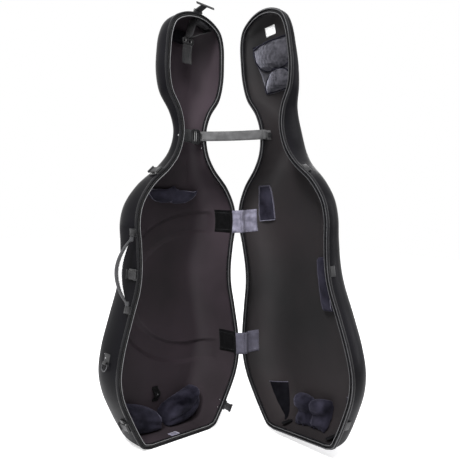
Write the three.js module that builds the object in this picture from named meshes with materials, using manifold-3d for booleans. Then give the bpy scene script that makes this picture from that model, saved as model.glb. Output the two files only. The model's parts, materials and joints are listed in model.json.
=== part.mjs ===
import * as THREE from 'three';
import { mergeVertices } from 'three/addons/utils/BufferGeometryUtils.js';
import Module from 'manifold-3d';

const wasm = await Module();
wasm.setup();

// Driving dimensions, in millimetres. The base lies with its open side towards -Y,
// the rim plane is y = 0, and Z runs from the bottom end to the scroll end. The lid
// is drawn closed on the base and then swung open about the hinge line.
const caseHeight = 1295;
const caseHalfWidth = 250;
const baseDepth = 152;
const lidDepth = 115;
const shellWall = 3.4;
const fitGap = 0.3;
const openAngleDeg = 78;

const rimWidth = 16;
const rimTall = 9;
const rimLip = 1.7;
const sealGrooveWide = 5;
const sealGrooveDeep = 4.2;
const sealGrooveIn = 6.5;

const hingeStandoff = 4.5;

// Rim outline of both shells, right half from the bottom corner to the top, as shares
// of the half width and of the height.
const rimOutlineShares = [
  [0.48, 0], [0.6, 0.0069], [0.68, 0.0263], [0.824, 0.0734], [0.96, 0.1274], [1.008, 0.1737],
  [0.98, 0.2278], [0.88, 0.3027], [0.792, 0.3629], [0.772, 0.4054], [0.796, 0.4633],
  [0.828, 0.5112], [0.792, 0.5544], [0.64, 0.6008], [0.384, 0.6456], [0.264, 0.6795],
  [0.216, 0.7259], [0.272, 0.7668], [0.42, 0.8093], [0.476, 0.8533], [0.478, 0.8996],
  [0.455, 0.9436], [0.385, 0.973], [0.21, 0.9931], [0, 1],
];

// Where the base's back turns flat, point for point with the rim outline.
const baseBackShares = [
  [0.368, 0.0445], [0.416, 0.0475], [0.448, 0.0566], [0.552, 0.0895], [0.656, 0.1356],
  [0.704, 0.176], [0.688, 0.2236], [0.584, 0.2934], [0.496, 0.3591], [0.456, 0.4056],
  [0.488, 0.4633], [0.536, 0.5058], [0.512, 0.5366], [0.416, 0.5695], [0.224, 0.6181],
  [0.128, 0.6626], [0.064, 0.7223], [0.088, 0.7759], [0.144, 0.8234], [0.168, 0.8588],
  [0.168, 0.8958], [0.144, 0.9266], [0.096, 0.9438], [0.044, 0.9544], [0, 0.9576],
];

// Where the lid's crown turns flat.
const lidBackShares = [
  [0.24, 0.0698], [0.272, 0.0728], [0.296, 0.0799], [0.352, 0.1032], [0.408, 0.139],
  [0.432, 0.1745], [0.416, 0.224], [0.336, 0.2964], [0.248, 0.3611], [0.208, 0.4056],
  [0.2, 0.4633], [0.2, 0.5058], [0.184, 0.5402], [0.144, 0.5806], [0.096, 0.6292],
  [0.064, 0.6703], [0.04, 0.7223], [0.048, 0.7718], [0.072, 0.8184], [0.088, 0.8558],
  [0.088, 0.8942], [0.072, 0.9236], [0.052, 0.9377], [0.024, 0.9468], [0, 0.9499],
];

// Depth along the height, as shares of the height and of the shell's depth.
const baseDepthShares = [
  [0, 0.95], [0.19, 1], [0.53, 0.82], [0.61, 0.6], [0.67, 0.42], [0.72, 0.385],
  [0.765, 0.44], [0.82, 0.57], [0.885, 0.62], [1, 0.58],
];
const lidDepthShares = [
  [0, 0.9], [0.19, 1], [0.4, 0.96], [0.5, 0.88], [0.58, 0.88], [0.67, 0.92],
  [0.715, 0.9], [0.77, 0.75], [0.84, 0.54], [0.92, 0.43], [1, 0.4],
];

const stepsPerSpan = 2;
const sectionPower = 2.5;
const sectionSteps = 5;

const radians = THREE.MathUtils.degToRad;
const lerp = THREE.MathUtils.lerp;

// Cubic through a table of [place, value] pairs.
function valueAlong(table, place) {
  const last = table.length - 1;
  if (place <= table[0][0]) return table[0][1];
  if (place >= table[last][0]) return table[last][1];
  const i = table.findIndex((row, k) => k < last && place < table[k + 1][0]);
  const slope = (a, b) => (table[b][1] - table[a][1]) / (table[b][0] - table[a][0]);
  const span = table[i + 1][0] - table[i][0];
  const here = slope(i, i + 1);
  const before = i > 0 ? (slope(i - 1, i) + here) / 2 : here;
  const after = i + 1 < last ? (slope(i + 1, i + 2) + here) / 2 : here;
  const t = (place - table[i][0]) / span;
  const a = table[i][1];
  const b = table[i + 1][1];
  return (2 * t ** 3 - 3 * t ** 2 + 1) * a + (t ** 3 - 2 * t ** 2 + t) * span * before
    + (3 * t ** 2 - 2 * t ** 3) * b + (t ** 3 - t ** 2) * span * after;
}

// Closed outline of [x, z] points, anticlockwise seen against +Y, from a right half.
function outlineFrom(shares) {
  const right = shares.map(([x, z]) => new THREE.Vector3(x * caseHalfWidth, 0, z * caseHeight));
  const left = right.slice(0, -1).reverse().map((p) => new THREE.Vector3(-p.x, 0, p.z));
  const curve = new THREE.CatmullRomCurve3([...right, ...left], false, 'centripetal');
  const spans = right.length + left.length - 1;
  return curve.getPoints(spans * stepsPerSpan).map((p) => [p.x, p.z]);
}

// The outline moved inwards along its own normals.
function insetOutline(outline, distance) {
  const count = outline.length;
  return outline.map(([x, z], i) => {
    const [ax, az] = outline[(i + count - 1) % count];
    const [bx, bz] = outline[(i + 1) % count];
    const inA = new THREE.Vector2(az - z, x - ax).normalize();
    const inB = new THREE.Vector2(z - bz, bx - x).normalize();
    const way = inA.clone().add(inB).normalize();
    const stretch = distance / Math.max(way.dot(inA), 0.5);
    return [x + way.x * stretch, z + way.y * stretch];
  });
}

function volumeOf(positions, faces) {
  const corner = (k) => new THREE.Vector3().fromArray(positions, faces[k] * 3);
  let total = 0;
  for (let k = 0; k < faces.length; k += 3) {
    total += corner(k).dot(corner(k + 1).cross(corner(k + 2)));
  }
  return total;
}

// Closed solid through rings of equal point counts. The two end rings are closed by
// strips between their first and second halves.
function loft(rings) {
  const count = rings[0].length;
  const positions = rings.flat(2);
  const faces = [];
  for (let r = 0; r + 1 < rings.length; r += 1) {
    for (let i = 0; i < count; i += 1) {
      const j = (i + 1) % count;
      const a = r * count + i;
      const b = r * count + j;
      faces.push(a, b, b + count, a, b + count, a + count);
    }
  }
  const top = (rings.length - 1) * count;
  for (let i = 0; i + 1 < count - 1 - i; i += 1) {
    const j = count - 1 - i;
    faces.push(i, j, i + 1);
    faces.push(top + i, top + i + 1, top + j);
    if (i + 1 < j - 1) {
      faces.push(i + 1, j, j - 1);
      faces.push(top + i + 1, top + j - 1, top + j);
    }
  }
  if (volumeOf(positions, faces) < 0) faces.reverse();
  return indexed(positions, faces);
}

function indexed(positions, faces) {
  const geometry = new THREE.BufferGeometry();
  geometry.setAttribute('position', new THREE.Float32BufferAttribute(positions, 3));
  geometry.setIndex(faces);
  return geometry;
}

// Closed solid between two grids of points with the same rows and columns.
function sheet(frontRows, backRows) {
  return loft(frontRows.map((row, i) => [...row, ...backRows[i].slice().reverse()]));
}

function solidOf(geometry) {
  const bare = geometry.clone();
  bare.deleteAttribute('normal');
  bare.deleteAttribute('uv');
  const merged = mergeVertices(bare, 1e-4);
  const vertProperties = new Float32Array(merged.attributes.position.array);
  const triVerts = new Uint32Array(merged.index.array);
  return new wasm.Manifold(new wasm.Mesh({ numProp: 3, vertProperties, triVerts }));
}

function geometryOf(solid) {
  const mesh = solid.getMesh();
  const geometry = new THREE.BufferGeometry();
  geometry.setAttribute('position', new THREE.BufferAttribute(mesh.vertProperties, 3));
  geometry.setIndex(new THREE.BufferAttribute(mesh.triVerts, 1));
  return geometry;
}

const fused = (...parts) => geometryOf(parts.map(solidOf).reduce((a, b) => a.add(b)));
const drilled = (body, ...holes) => (
  geometryOf(holes.map(solidOf).reduce((a, b) => a.subtract(b), solidOf(body)))
);

const alongX = new THREE.Matrix4().makeBasis(
  new THREE.Vector3(0, 1, 0), new THREE.Vector3(0, 0, 1), new THREE.Vector3(1, 0, 0),
);

// Prism along X from a [y, z] profile.
function barAlongX(profile, from, to) {
  const shape = new THREE.Shape(profile.map(([y, z]) => new THREE.Vector2(y, z)));
  const geometry = new THREE.ExtrudeGeometry(shape, { depth: to - from, bevelEnabled: false });
  return geometry.translate(0, 0, from).applyMatrix4(alongX);
}

const rodSides = 12;
function rodAlongX(radius, y, z, from, to) {
  const round = Array.from({ length: rodSides }, (_, k) => {
    const angle = (k / rodSides) * Math.PI * 2;
    return [y + radius * Math.cos(angle), z + radius * Math.sin(angle)];
  });
  return barAlongX(round, from, to);
}

function box(fromX, toX, fromY, toY, fromZ, toZ) {
  return barAlongX([[fromY, fromZ], [toY, fromZ], [toY, toZ], [fromY, toZ]], fromX, toX);
}

// Ribbon of even thickness on the left of a path, as a closed outline.
function ribbonOutline(path, thick) {
  const offset = path.map((p, i) => {
    const a = path[Math.max(i - 1, 0)];
    const b = path[Math.min(i + 1, path.length - 1)];
    const into = new THREE.Vector2(p[0] - a[0], p[1] - a[1]).normalize();
    const out = new THREE.Vector2(b[0] - p[0], b[1] - p[1]).normalize();
    if (i === 0) into.copy(out);
    if (i === path.length - 1) out.copy(into);
    const way = into.clone().add(out).normalize();
    const stretch = thick / Math.max(way.dot(into), 0.7);
    return [p[0] - way.y * stretch, p[1] + way.x * stretch];
  });
  return [...path, ...offset.reverse()];
}

const materials = {
  shell: new THREE.MeshStandardMaterial({ color: 0x17171c, roughness: 0.38 }),
  trim: new THREE.MeshStandardMaterial({ color: 0x1d1d20, roughness: 0.35 }),
  rubber: new THREE.MeshStandardMaterial({ color: 0x0c0c0d, roughness: 0.8 }),
  hardware: new THREE.MeshStandardMaterial({ color: 0x1a1a1c, roughness: 0.4 }),
  steel: new THREE.MeshStandardMaterial({ color: 0xb8b8bb, roughness: 0.3, metalness: 0.9 }),
  velvet: new THREE.MeshStandardMaterial({ color: 0x26243a, roughness: 0.95 }),
  paleVelvet: new THREE.MeshStandardMaterial({ color: 0x6a6580, roughness: 0.95 }),
  blackWeb: new THREE.MeshStandardMaterial({ color: 0x141416, roughness: 0.9 }),
  greyWeb: new THREE.MeshStandardMaterial({ color: 0x6c6c6e, roughness: 0.9 }),
};

function addMesh(parent, name, geometry, material) {
  const mesh = new THREE.Mesh(geometry, material);
  mesh.name = name;
  parent.add(mesh);
  return mesh;
}

const rimOutline = outlineFrom(rimOutlineShares);

// Shells. side is 1 for the base, whose depth runs along +Y, and -1 for the closed lid.
const shellEdge = sealGrooveDeep + fitGap * 2;
const wallDrop = rimLip + fitGap;
const stepDown = rimTall + fitGap;

const baseShell = {
  side: 1, depth: baseDepth, depthShares: baseDepthShares, backShares: baseBackShares,
};
const lidShell = {
  side: -1, depth: lidDepth, depthShares: lidDepthShares, backShares: lidBackShares,
};

// One face of a shell: straight inside the edging, then rounding over to the flat of
// the back.
function shellLoft(shell, inward, deeper, rimLevel) {
  const backInsetShare = 0.6;
  const rim = insetOutline(rimOutline, wallDrop + inward);
  const back = insetOutline(outlineFrom(shell.backShares), inward * backInsetShare);
  const rings = [rim.map(([x, z]) => [x, shell.side * rimLevel, z])];
  for (let k = 0; k <= sectionSteps; k += 1) {
    const angle = (k / sectionSteps) * (Math.PI / 2);
    const across = 1 - Math.cos(angle) ** (2 / sectionPower);
    const along = Math.sin(angle) ** (2 / sectionPower);
    rings.push(rim.map(([x, z], i) => {
      const [backX, backZ] = back[i];
      const full = shell.depth * valueAlong(shell.depthShares, backZ / caseHeight) + deeper;
      const level = stepDown + (full - inward - stepDown) * along;
      return [x + (backX - x) * across, shell.side * level, z + (backZ - z) * across];
    }));
  }
  return loft(rings);
}

const outerLoft = (shell, deeper) => shellLoft(shell, 0, deeper, shellEdge);
const innerLoft = (shell, deeper) => (
  shellLoft(shell, shellWall, deeper, shellEdge - shellWall)
);

// Round channel pressed into the base's back, off the centre line.
const reliefCentreShares = [0.66, 0.3413];
const reliefOuterX = 328;
const reliefOuterZ = 257;
const reliefBand = 69;
const reliefDeep = 6;
const reliefStartShare = 0.6;
const reliefSides = 40;

function reliefPrism(grow) {
  const ellipse = (radiusX, radiusZ) => Array.from({ length: reliefSides }, (_, k) => {
    const angle = (k / reliefSides) * Math.PI * 2;
    const x = reliefCentreShares[0] * caseHalfWidth + radiusX * Math.cos(angle);
    return new THREE.Vector2(x, reliefCentreShares[1] * caseHeight + radiusZ * Math.sin(angle));
  });
  const shape = new THREE.Shape(ellipse(reliefOuterX + grow, reliefOuterZ + grow));
  const innerX = reliefOuterX - reliefBand - grow;
  shape.holes.push(new THREE.Path(ellipse(innerX, reliefOuterZ - reliefBand - grow)));
  const far = baseDepth + reliefDeep * 2;
  const depth = far - baseDepth * reliefStartShare;
  const prism = new THREE.ExtrudeGeometry(shape, { depth, bevelEnabled: false });
  return prism.rotateX(Math.PI / 2).translate(0, far, 0);
}

function baseShellGeometry() {
  const raised = solidOf(reliefPrism(shellWall)).intersect(solidOf(outerLoft(baseShell, reliefDeep)));
  const sunk = solidOf(reliefPrism(0)).intersect(solidOf(innerLoft(baseShell, reliefDeep)));
  const outer = solidOf(outerLoft(baseShell, 0)).add(raised);
  const inner = solidOf(innerLoft(baseShell, 0)).add(sunk);
  return geometryOf(outer.subtract(inner));
}

function lidShellGeometry() {
  return drilled(outerLoft(lidShell, 0), innerLoft(lidShell, 0));
}

// Solid swept round the rim from a closed [inward, deep] profile.
function sweptRim(profile, side) {
  const loops = profile.map(([inward, deep]) => (
    insetOutline(rimOutline, inward).map(([x, z]) => [x, side * deep, z])
  ));
  const count = rimOutline.length;
  const faces = [];
  for (let r = 0; r < loops.length; r += 1) {
    const next = (r + 1) % loops.length;
    for (let i = 0; i < count; i += 1) {
      const j = (i + 1) % count;
      faces.push(r * count + i, r * count + j, next * count + j);
      faces.push(r * count + i, next * count + j, next * count + i);
    }
  }
  const positions = loops.flat(2);
  if (volumeOf(positions, faces) < 0) faces.reverse();
  return indexed(positions, faces);
}

// Rim edging: two ridges with the seal's groove between, and a slot for the shell.
function edgingGeometry(side) {
  const slotFar = rimLip + shellWall + fitGap * 2;
  const slotTop = sealGrooveDeep + fitGap;
  const grooveFar = sealGrooveIn + sealGrooveWide;
  return sweptRim([
    [0, fitGap], [sealGrooveIn, fitGap], [sealGrooveIn, slotTop], [grooveFar, slotTop],
    [grooveFar, fitGap], [rimWidth, fitGap], [rimWidth, rimTall], [slotFar, rimTall],
    [slotFar, slotTop], [rimLip, slotTop], [rimLip, rimTall], [0, rimTall],
  ], side);
}

const sealTop = 1.1;
function sealGeometry() {
  const near = sealGrooveIn + fitGap;
  const far = sealGrooveIn + sealGrooveWide - fitGap;
  return sweptRim([
    [near + fitGap, sealTop], [far - fitGap, sealTop], [far, sealGrooveDeep],
    [near, sealGrooveDeep],
  ], 1);
}

// Finding the inner walls. Each probe returns the first point met on the way.
const walls = new Map([baseShell, lidShell].map((shell) => (
  [shell, new THREE.Mesh(innerLoft(shell, 0), new THREE.MeshBasicMaterial({ side: THREE.DoubleSide }))]
)));
const probe = new THREE.Raycaster();
function meet(target, origin, way) {
  probe.set(origin, way);
  const hits = probe.intersectObject(target);
  if (hits.length === 0) throw new Error(`no wall from ${origin.toArray().join(' ')}`);
  return hits[0];
}
// Depth at which a piece seats on the back, clear of the wall by the gap square to it.
const steepestShare = 0.12;
function depthAt(shell, x, z) {
  const from = new THREE.Vector3(x, shell.side * shellEdge, z);
  const hit = meet(walls.get(shell), from, new THREE.Vector3(0, shell.side, 0));
  const facing = Math.max(Math.abs(hit.face.normal.y), steepestShare);
  return Math.abs(hit.point.y) - fitGap / facing;
}
const widthAt = (shell, deep, z, hand) => Math.abs(meet(
  walls.get(shell), new THREE.Vector3(0, shell.side * deep, z), new THREE.Vector3(hand, 0, 0),
).point.x);
const bodyMiddle = caseHeight * 0.3;
const headMiddle = caseHeight * 0.9;
const floorAt = (shell, x, deep) => meet(
  walls.get(shell), new THREE.Vector3(x, shell.side * deep, bodyMiddle), new THREE.Vector3(0, 0, -1),
).point.z;
const ceilingAt = (shell, x, deep) => meet(
  walls.get(shell), new THREE.Vector3(x, shell.side * deep, headMiddle), new THREE.Vector3(0, 0, 1),
).point.z;

// Right-hand x of an outline at a height.
function outlineXAt(outline, z) {
  const i = outline.findIndex(([, level], k) => k > 0 && level >= z && outline[k - 1][1] < z);
  const [ax, az] = outline[i - 1];
  const [bx, bz] = outline[i];
  return lerp(ax, bx, (z - az) / (bz - az));
}

// Least value of a place over a strip of the given width.
const stripShares = [-0.5, -0.4, -0.3, -0.2, -0.1, 0, 0.1, 0.2, 0.3, 0.4, 0.5];
function narrowest(middle, wide, place) {
  return Math.min(...stripShares.map((share) => place(middle + wide * share)));
}

// Frames on the rim: X runs along the rim, Y into the base, Z outwards. The frame is
// lifted where the rim curves inwards under a piece of the given half length.
function rimFrame(hand, heightShare, halfLength) {
  const z = heightShare * caseHeight;
  const onTop = heightShare === 1;
  const x = onTop ? 0 : outlineXAt(rimOutline, z);
  const near = new THREE.Vector2(0, 1);
  if (!onTop) {
    const step = caseHeight / 400;
    near.set(2 * step, outlineXAt(rimOutline, z - step) - outlineXAt(rimOutline, z + step));
  }
  near.normalize();
  const lift = onTop ? 0 : -narrowest(z, halfLength * 2, (level) => (
    (x - outlineXAt(rimOutline, level)) * near.x + (z - level) * near.y
  ));
  const outX = hand * near.x;
  const outZ = near.y;
  const basis = new THREE.Matrix4().makeBasis(
    new THREE.Vector3(outZ, 0, -outX), new THREE.Vector3(0, 1, 0), new THREE.Vector3(outX, 0, outZ),
  );
  return basis.setPosition(hand * x + outX * lift, 0, z + outZ * lift);
}

function placedGroup(parent, matrix) {
  const holder = new THREE.Group();
  matrix.decompose(holder.position, holder.quaternion, holder.scale);
  parent.add(holder);
  return holder;
}

// Draw latch: a plate on the base, a lever on its pin and a keeper on the lid.
const latchWide = 30;
const latchPlateDeep = 42;
const latchPlateTall = 2.6;
const latchPinDeep = 6;
const latchPinOut = 6.6;
const latchEarWide = 3.6;
const latchEarRadius = 4;
const latchPinRadius = 1.5;
const latchArmReach = 34;
const latchArmBelow = 2.5;
const latchArmAbove = 0.7;
const latchHookLong = 3;
const latchHookReach = 6;
const keeperTall = 2.4;
const keeperNear = 11;
const keeperFar = 24;

function latchPlateGeometry() {
  const half = latchWide / 2;
  const earIn = half - latchEarWide;
  const front = fitGap * 3;
  const plate = barAlongX([
    [front, fitGap], [stepDown, fitGap], [stepDown, fitGap - wallDrop],
    [latchPlateDeep, fitGap - wallDrop], [latchPlateDeep, fitGap],
    [latchPinDeep + latchEarRadius * 2, latchPlateTall], [front, latchPlateTall],
  ], -half, half);
  const ear = (from, to) => fused(
    rodAlongX(latchEarRadius, latchPinDeep, latchPinOut, from, to),
    box(
      from, to, latchPinDeep - latchEarRadius, latchPinDeep + latchEarRadius,
      latchPlateTall / 2, latchPinOut,
    ),
  );
  const pin = rodAlongX(latchPinRadius, latchPinDeep, latchPinOut, -half, half);
  return fused(plate, ear(-half, -earIn), ear(earIn, half), pin);
}

// The lever points at the lid when latched; its frame sits on the pin.
function latchLeverGeometry(barHalf) {
  const half = latchWide / 2 - latchEarWide - fitGap;
  const knuckle = rodAlongX(latchEarRadius - fitGap, 0, 0, -half, half);
  const tip = -latchArmReach;
  const arm = barAlongX([
    [0, -latchArmBelow], [0, latchArmAbove + latchArmBelow], [tip + latchHookLong, latchArmAbove],
    [tip, 0], [tip, -latchArmBelow],
  ], -half, half);
  const hook = barAlongX([
    [tip + latchHookLong, -latchHookReach], [tip + latchHookLong, latchArmAbove],
    [tip, 0], [tip, -latchHookReach],
  ], -barHalf, barHalf);
  const bore = rodAlongX(latchPinRadius + fitGap, 0, 0, -latchWide, latchWide);
  return drilled(fused(knuckle, arm, hook), bore);
}

function latchKeeperGeometry() {
  const half = latchWide / 2;
  return barAlongX([
    [-stepDown, fitGap - wallDrop], [-keeperFar, fitGap - wallDrop], [-keeperFar, keeperTall],
    [-keeperFar + latchHookLong, keeperTall], [-keeperNear, fitGap], [-stepDown, fitGap],
  ], -half, half);
}

const hookBarHalf = 13;
const topBarHalf = 36;
const latches = [
  { name: 'top', hand: 1, heightShare: 1, swingDeg: 22, barHalf: topBarHalf },
  { name: 'shoulder', hand: -1, heightShare: 0.6255, swingDeg: 180, barHalf: hookBarHalf },
  { name: 'middle', hand: -1, heightShare: 0.3977, swingDeg: 180, barHalf: hookBarHalf },
  { name: 'flank', hand: -1, heightShare: 0.0649, swingDeg: 180, barHalf: hookBarHalf },
  { name: 'lower', hand: 1, heightShare: 0.051, swingDeg: 92, barHalf: hookBarHalf },
];

function addLatch(base, lid, latch) {
  const frame = rimFrame(latch.hand, latch.heightShare, latchWide / 2);
  const onBase = placedGroup(base, frame);
  addMesh(onBase, `latch_plate_${latch.name}`, latchPlateGeometry(), materials.hardware);
  const lever = addMesh(
    onBase, `latch_lever_${latch.name}`, latchLeverGeometry(latch.barHalf), materials.hardware,
  );
  lever.position.set(0, latchPinDeep, latchPinOut);
  lever.rotation.x = -radians(latch.swingDeg);
  const onLid = placedGroup(lid, frame);
  addMesh(onLid, `latch_keeper_${latch.name}`, latchKeeperGeometry(), materials.hardware);
}

// Hinges: a leaf on each shell with knuckles round one line beside the rim.
const hingeLeafHalf = 22;
const hingeKnuckleHalf = 7.5;
const hingeKnuckleRadius = 3.1;
const hingePinRadius = 1.4;
const hingeLeafDeep = 24;
const hingeLeafTall = 2;
const hingeUpperShare = 0.5181;
const hingeLowerShare = 0.2042;

const hingeFoot = (share) => new THREE.Vector3(
  outlineXAt(rimOutline, share * caseHeight), 0, share * caseHeight,
);
const hingeWay = hingeFoot(hingeUpperShare).sub(hingeFoot(hingeLowerShare)).normalize();
const hingeOut = new THREE.Vector3(hingeWay.z, 0, -hingeWay.x);
const hingeBeyond = Math.max(...rimOutline.map(([x, z]) => (
  new THREE.Vector3(x, 0, z).sub(hingeFoot(hingeLowerShare)).dot(hingeOut)
)));
const hingeOffset = hingeBeyond + hingeStandoff;
const hingePoint = (share) => hingeFoot(hingeLowerShare)
  .addScaledVector(hingeOut, hingeOffset)
  .addScaledVector(hingeWay, ((share - hingeLowerShare) * caseHeight) / hingeWay.z);

function hingeFrame(share) {
  const basis = new THREE.Matrix4().makeBasis(
    hingeWay.clone().negate(), new THREE.Vector3(0, 1, 0), hingeOut,
  );
  return basis.setPosition(hingePoint(share));
}

// Room between the hinge line and the rim next to a leaf.
function hingeRoom(share) {
  const middle = hingePoint(share);
  const near = rimOutline.map(([x, z]) => new THREE.Vector3(x, 0, z).sub(middle));
  const beside = near.filter((p) => Math.abs(p.dot(hingeWay)) < hingeLeafHalf * 2);
  return Math.min(...beside.map((p) => -p.dot(hingeOut)));
}

function hingeLeafGeometry(share, side) {
  const face = fitGap - hingeRoom(share);
  const front = fitGap * 3;
  const plate = barAlongX([
    [side * front, face], [side * stepDown, face], [side * stepDown, face - wallDrop],
    [side * hingeLeafDeep, face - wallDrop], [side * hingeLeafDeep, face],
    [side * stepDown, face + hingeLeafTall], [side * front, face + hingeLeafTall],
  ], -hingeLeafHalf, hingeLeafHalf);
  const web = (from, to) => barAlongX([
    [side * front, face], [side * front, 0], [side * hingeKnuckleRadius, 0],
    [side * stepDown, face],
  ], from, to);
  const knuckle = (from, to) => rodAlongX(hingeKnuckleRadius, 0, 0, from, to);
  const apart = hingeKnuckleHalf + fitGap;
  if (side < 0) {
    const notch = (from, to) => rodAlongX(
      hingeKnuckleRadius + fitGap, 0, 0, from, to,
    );
    const leaf = drilled(
      fused(plate, web(-hingeKnuckleHalf, hingeKnuckleHalf)),
      notch(-hingeLeafHalf * 2, -hingeKnuckleHalf), notch(hingeKnuckleHalf, hingeLeafHalf * 2),
    );
    const bore = rodAlongX(hingePinRadius + fitGap, 0, 0, -hingeLeafHalf, hingeLeafHalf);
    return drilled(fused(leaf, knuckle(-hingeKnuckleHalf, hingeKnuckleHalf)), bore);
  }
  const leaf = drilled(
    fused(plate, web(-hingeLeafHalf, -apart), web(apart, hingeLeafHalf)),
    rodAlongX(hingeKnuckleRadius + fitGap, 0, 0, -apart, apart),
  );
  const pin = rodAlongX(hingePinRadius, 0, 0, -hingeLeafHalf, hingeLeafHalf);
  return fused(leaf, knuckle(-hingeLeafHalf, -apart), knuckle(apart, hingeLeafHalf), pin);
}

function addHinge(base, lid, name, share) {
  const frame = hingeFrame(share);
  const onBase = placedGroup(base, frame);
  addMesh(onBase, `hinge_leaf_base_${name}`, hingeLeafGeometry(share, 1), materials.hardware);
  const onLid = placedGroup(lid, frame);
  addMesh(onLid, `hinge_leaf_lid_${name}`, hingeLeafGeometry(share, -1), materials.hardware);
}

const lidSwing = new THREE.Matrix4().makeTranslation(hingePoint(0))
  .multiply(new THREE.Matrix4().makeRotationAxis(hingeWay, radians(openAngleDeg)))
  .multiply(new THREE.Matrix4().makeTranslation(hingePoint(0).negate()));

// Side handle: two brackets with pins on one line, and a bowed grip round the pins.
const bracketHalf = 11;
const bracketDeep = 33;
const bracketPlateTall = 2.2;
const bracketBlockShare = 0.8;
const bracketTaperShare = 0.6;
const bracketFootShare = 0.45;
const bracketHeelShare = 0.4;
const bracketBlockRadius = 6.5;
const handlePinRadius = 2.4;
const handlePinLong = 15;
const handlePinOut = 9.5;
const handlePinDeep = 9;
const handleEyeRadius = 6.2;
const handleReach = 37;
const handleThick = 11;
const handleWide = 17;
const handleLeanDeg = 45;
const handleSteps = 14;
const handleSides = 10;
const bracketUpperShare = 0.4896;
const bracketLowerShare = 0.3212;

const bracketPin = (share) => new THREE.Vector3(0, handlePinDeep, handlePinOut)
  .applyMatrix4(rimFrame(-1, share, bracketHalf));
const handleWay = bracketPin(bracketUpperShare).sub(bracketPin(bracketLowerShare));
const handleLong = handleWay.length();
handleWay.normalize();
const handleOut = new THREE.Vector3(-handleWay.z, 0, handleWay.x);
const handleFrame = new THREE.Matrix4().makeBasis(handleWay, new THREE.Vector3(0, 1, 0), handleOut)
  .setPosition(bracketPin(bracketLowerShare));

function bracketGeometry(share, upper) {
  const seat = rimFrame(-1, share, bracketHalf);
  const plate = barAlongX([
    [fitGap * 3, fitGap], [stepDown, fitGap], [stepDown, fitGap - wallDrop],
    [bracketDeep, fitGap - wallDrop], [bracketDeep, fitGap], [bracketDeep * bracketTaperShare, bracketPlateTall],
    [fitGap * 3, bracketPlateTall],
  ], -bracketHalf, bracketHalf);
  const middle = upper ? handleLong : 0;
  const toSeat = seat.clone().invert().multiply(handleFrame);
  const out = handlePinOut - bracketPlateTall;
  const blockHalf = bracketHalf * bracketBlockShare;
  const block = fused(
    rodAlongX(bracketBlockRadius, 0, 0, middle - blockHalf, middle + blockHalf),
    barAlongX([
      [-bracketBlockRadius, 0], [-handlePinDeep + stepDown * bracketHeelShare, -out],
      [bracketDeep * bracketFootShare, -out], [bracketBlockRadius, 0],
    ], middle - blockHalf, middle + blockHalf),
  ).applyMatrix4(toSeat);
  const pinFrom = upper ? middle - blockHalf - handlePinLong : middle;
  const pinTo = upper ? middle : middle + blockHalf + handlePinLong;
  const pin = rodAlongX(handlePinRadius, 0, 0, pinFrom, pinTo).applyMatrix4(toSeat);
  return fused(plate, block, pin);
}

// The grip's frame lies on the pins' line: X runs along it and Z leans outwards.
function gripGeometry() {
  const clear = bracketHalf * bracketBlockShare + fitGap;
  const eyeLong = handlePinLong - fitGap * 2;
  const from = clear;
  const to = handleLong - clear;
  const start = from + eyeLong / 2;
  const rings = Array.from({ length: handleSteps + 1 }, (_, k) => {
    const t = k / handleSteps;
    const x = lerp(start, to - eyeLong / 2, t);
    const bow = Math.sin(Math.PI * t);
    const reach = handleReach * bow ** 0.8;
    const swell = lerp(0.72, 1, Math.sqrt(bow));
    return Array.from({ length: handleSides }, (_, i) => {
      const angle = (i / handleSides) * Math.PI * 2;
      const across = (Math.cos(angle) * handleWide * swell) / 2;
      const out = (Math.sin(angle) * handleThick * swell) / 2;
      return [x, across, reach + out];
    });
  });
  const eye = (a, b) => rodAlongX(handleEyeRadius, 0, 0, a, b);
  const bore = (a, b) => rodAlongX(handlePinRadius + fitGap, 0, 0, a, b);
  return drilled(
    fused(loft(rings), eye(from, from + eyeLong), eye(to - eyeLong, to)),
    bore(0, from + eyeLong + handlePinRadius), bore(to - eyeLong - handlePinRadius, handleLong),
  );
}

function addHandle(base) {
  const lower = placedGroup(base, rimFrame(-1, bracketLowerShare, bracketHalf));
  addMesh(lower, 'handle_bracket_lower', bracketGeometry(bracketLowerShare, false), materials.hardware);
  const upper = placedGroup(base, rimFrame(-1, bracketUpperShare, bracketHalf));
  addMesh(upper, 'handle_bracket_upper', bracketGeometry(bracketUpperShare, true), materials.hardware);
  const line = placedGroup(base, handleFrame);
  const grip = addMesh(line, 'handle_grip', gripGeometry(), materials.rubber);
  grip.rotation.x = -radians(handleLeanDeg);
}

// Strap ring on the left flank: a plate with a clip round the ring's bar.
const ringCentreShare = 0.2023;
const ringDeep = 61;
const ringPlateWide = 26;
const ringPlateUp = 27;
const ringPlateDown = 6;
const ringPlateTall = 2.2;
const ringWire = 2;
const ringClipRadius = 4.6;
const ringBarOut = 5.6;
const ringHalfWide = 13;
const ringDrop = 25;
const ringHangDeg = 4;
const ringSteps = 12;
const ringSides = 6;

function ringFrame() {
  const outside = new THREE.Mesh(
    outerLoft(baseShell, 0), new THREE.MeshBasicMaterial({ side: THREE.DoubleSide }),
  );
  const z = ringCentreShare * caseHeight;
  const hit = meet(outside, new THREE.Vector3(0, ringDeep, z), new THREE.Vector3(-1, 0, 0));
  const out = hit.face.normal.clone();
  if (out.x > 0) out.negate();
  const up = new THREE.Vector3(0, 0, 1).addScaledVector(out, -out.z).normalize();
  return new THREE.Matrix4().makeBasis(up, new THREE.Vector3().crossVectors(out, up), out)
    .setPosition(hit.point);
}

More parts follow.
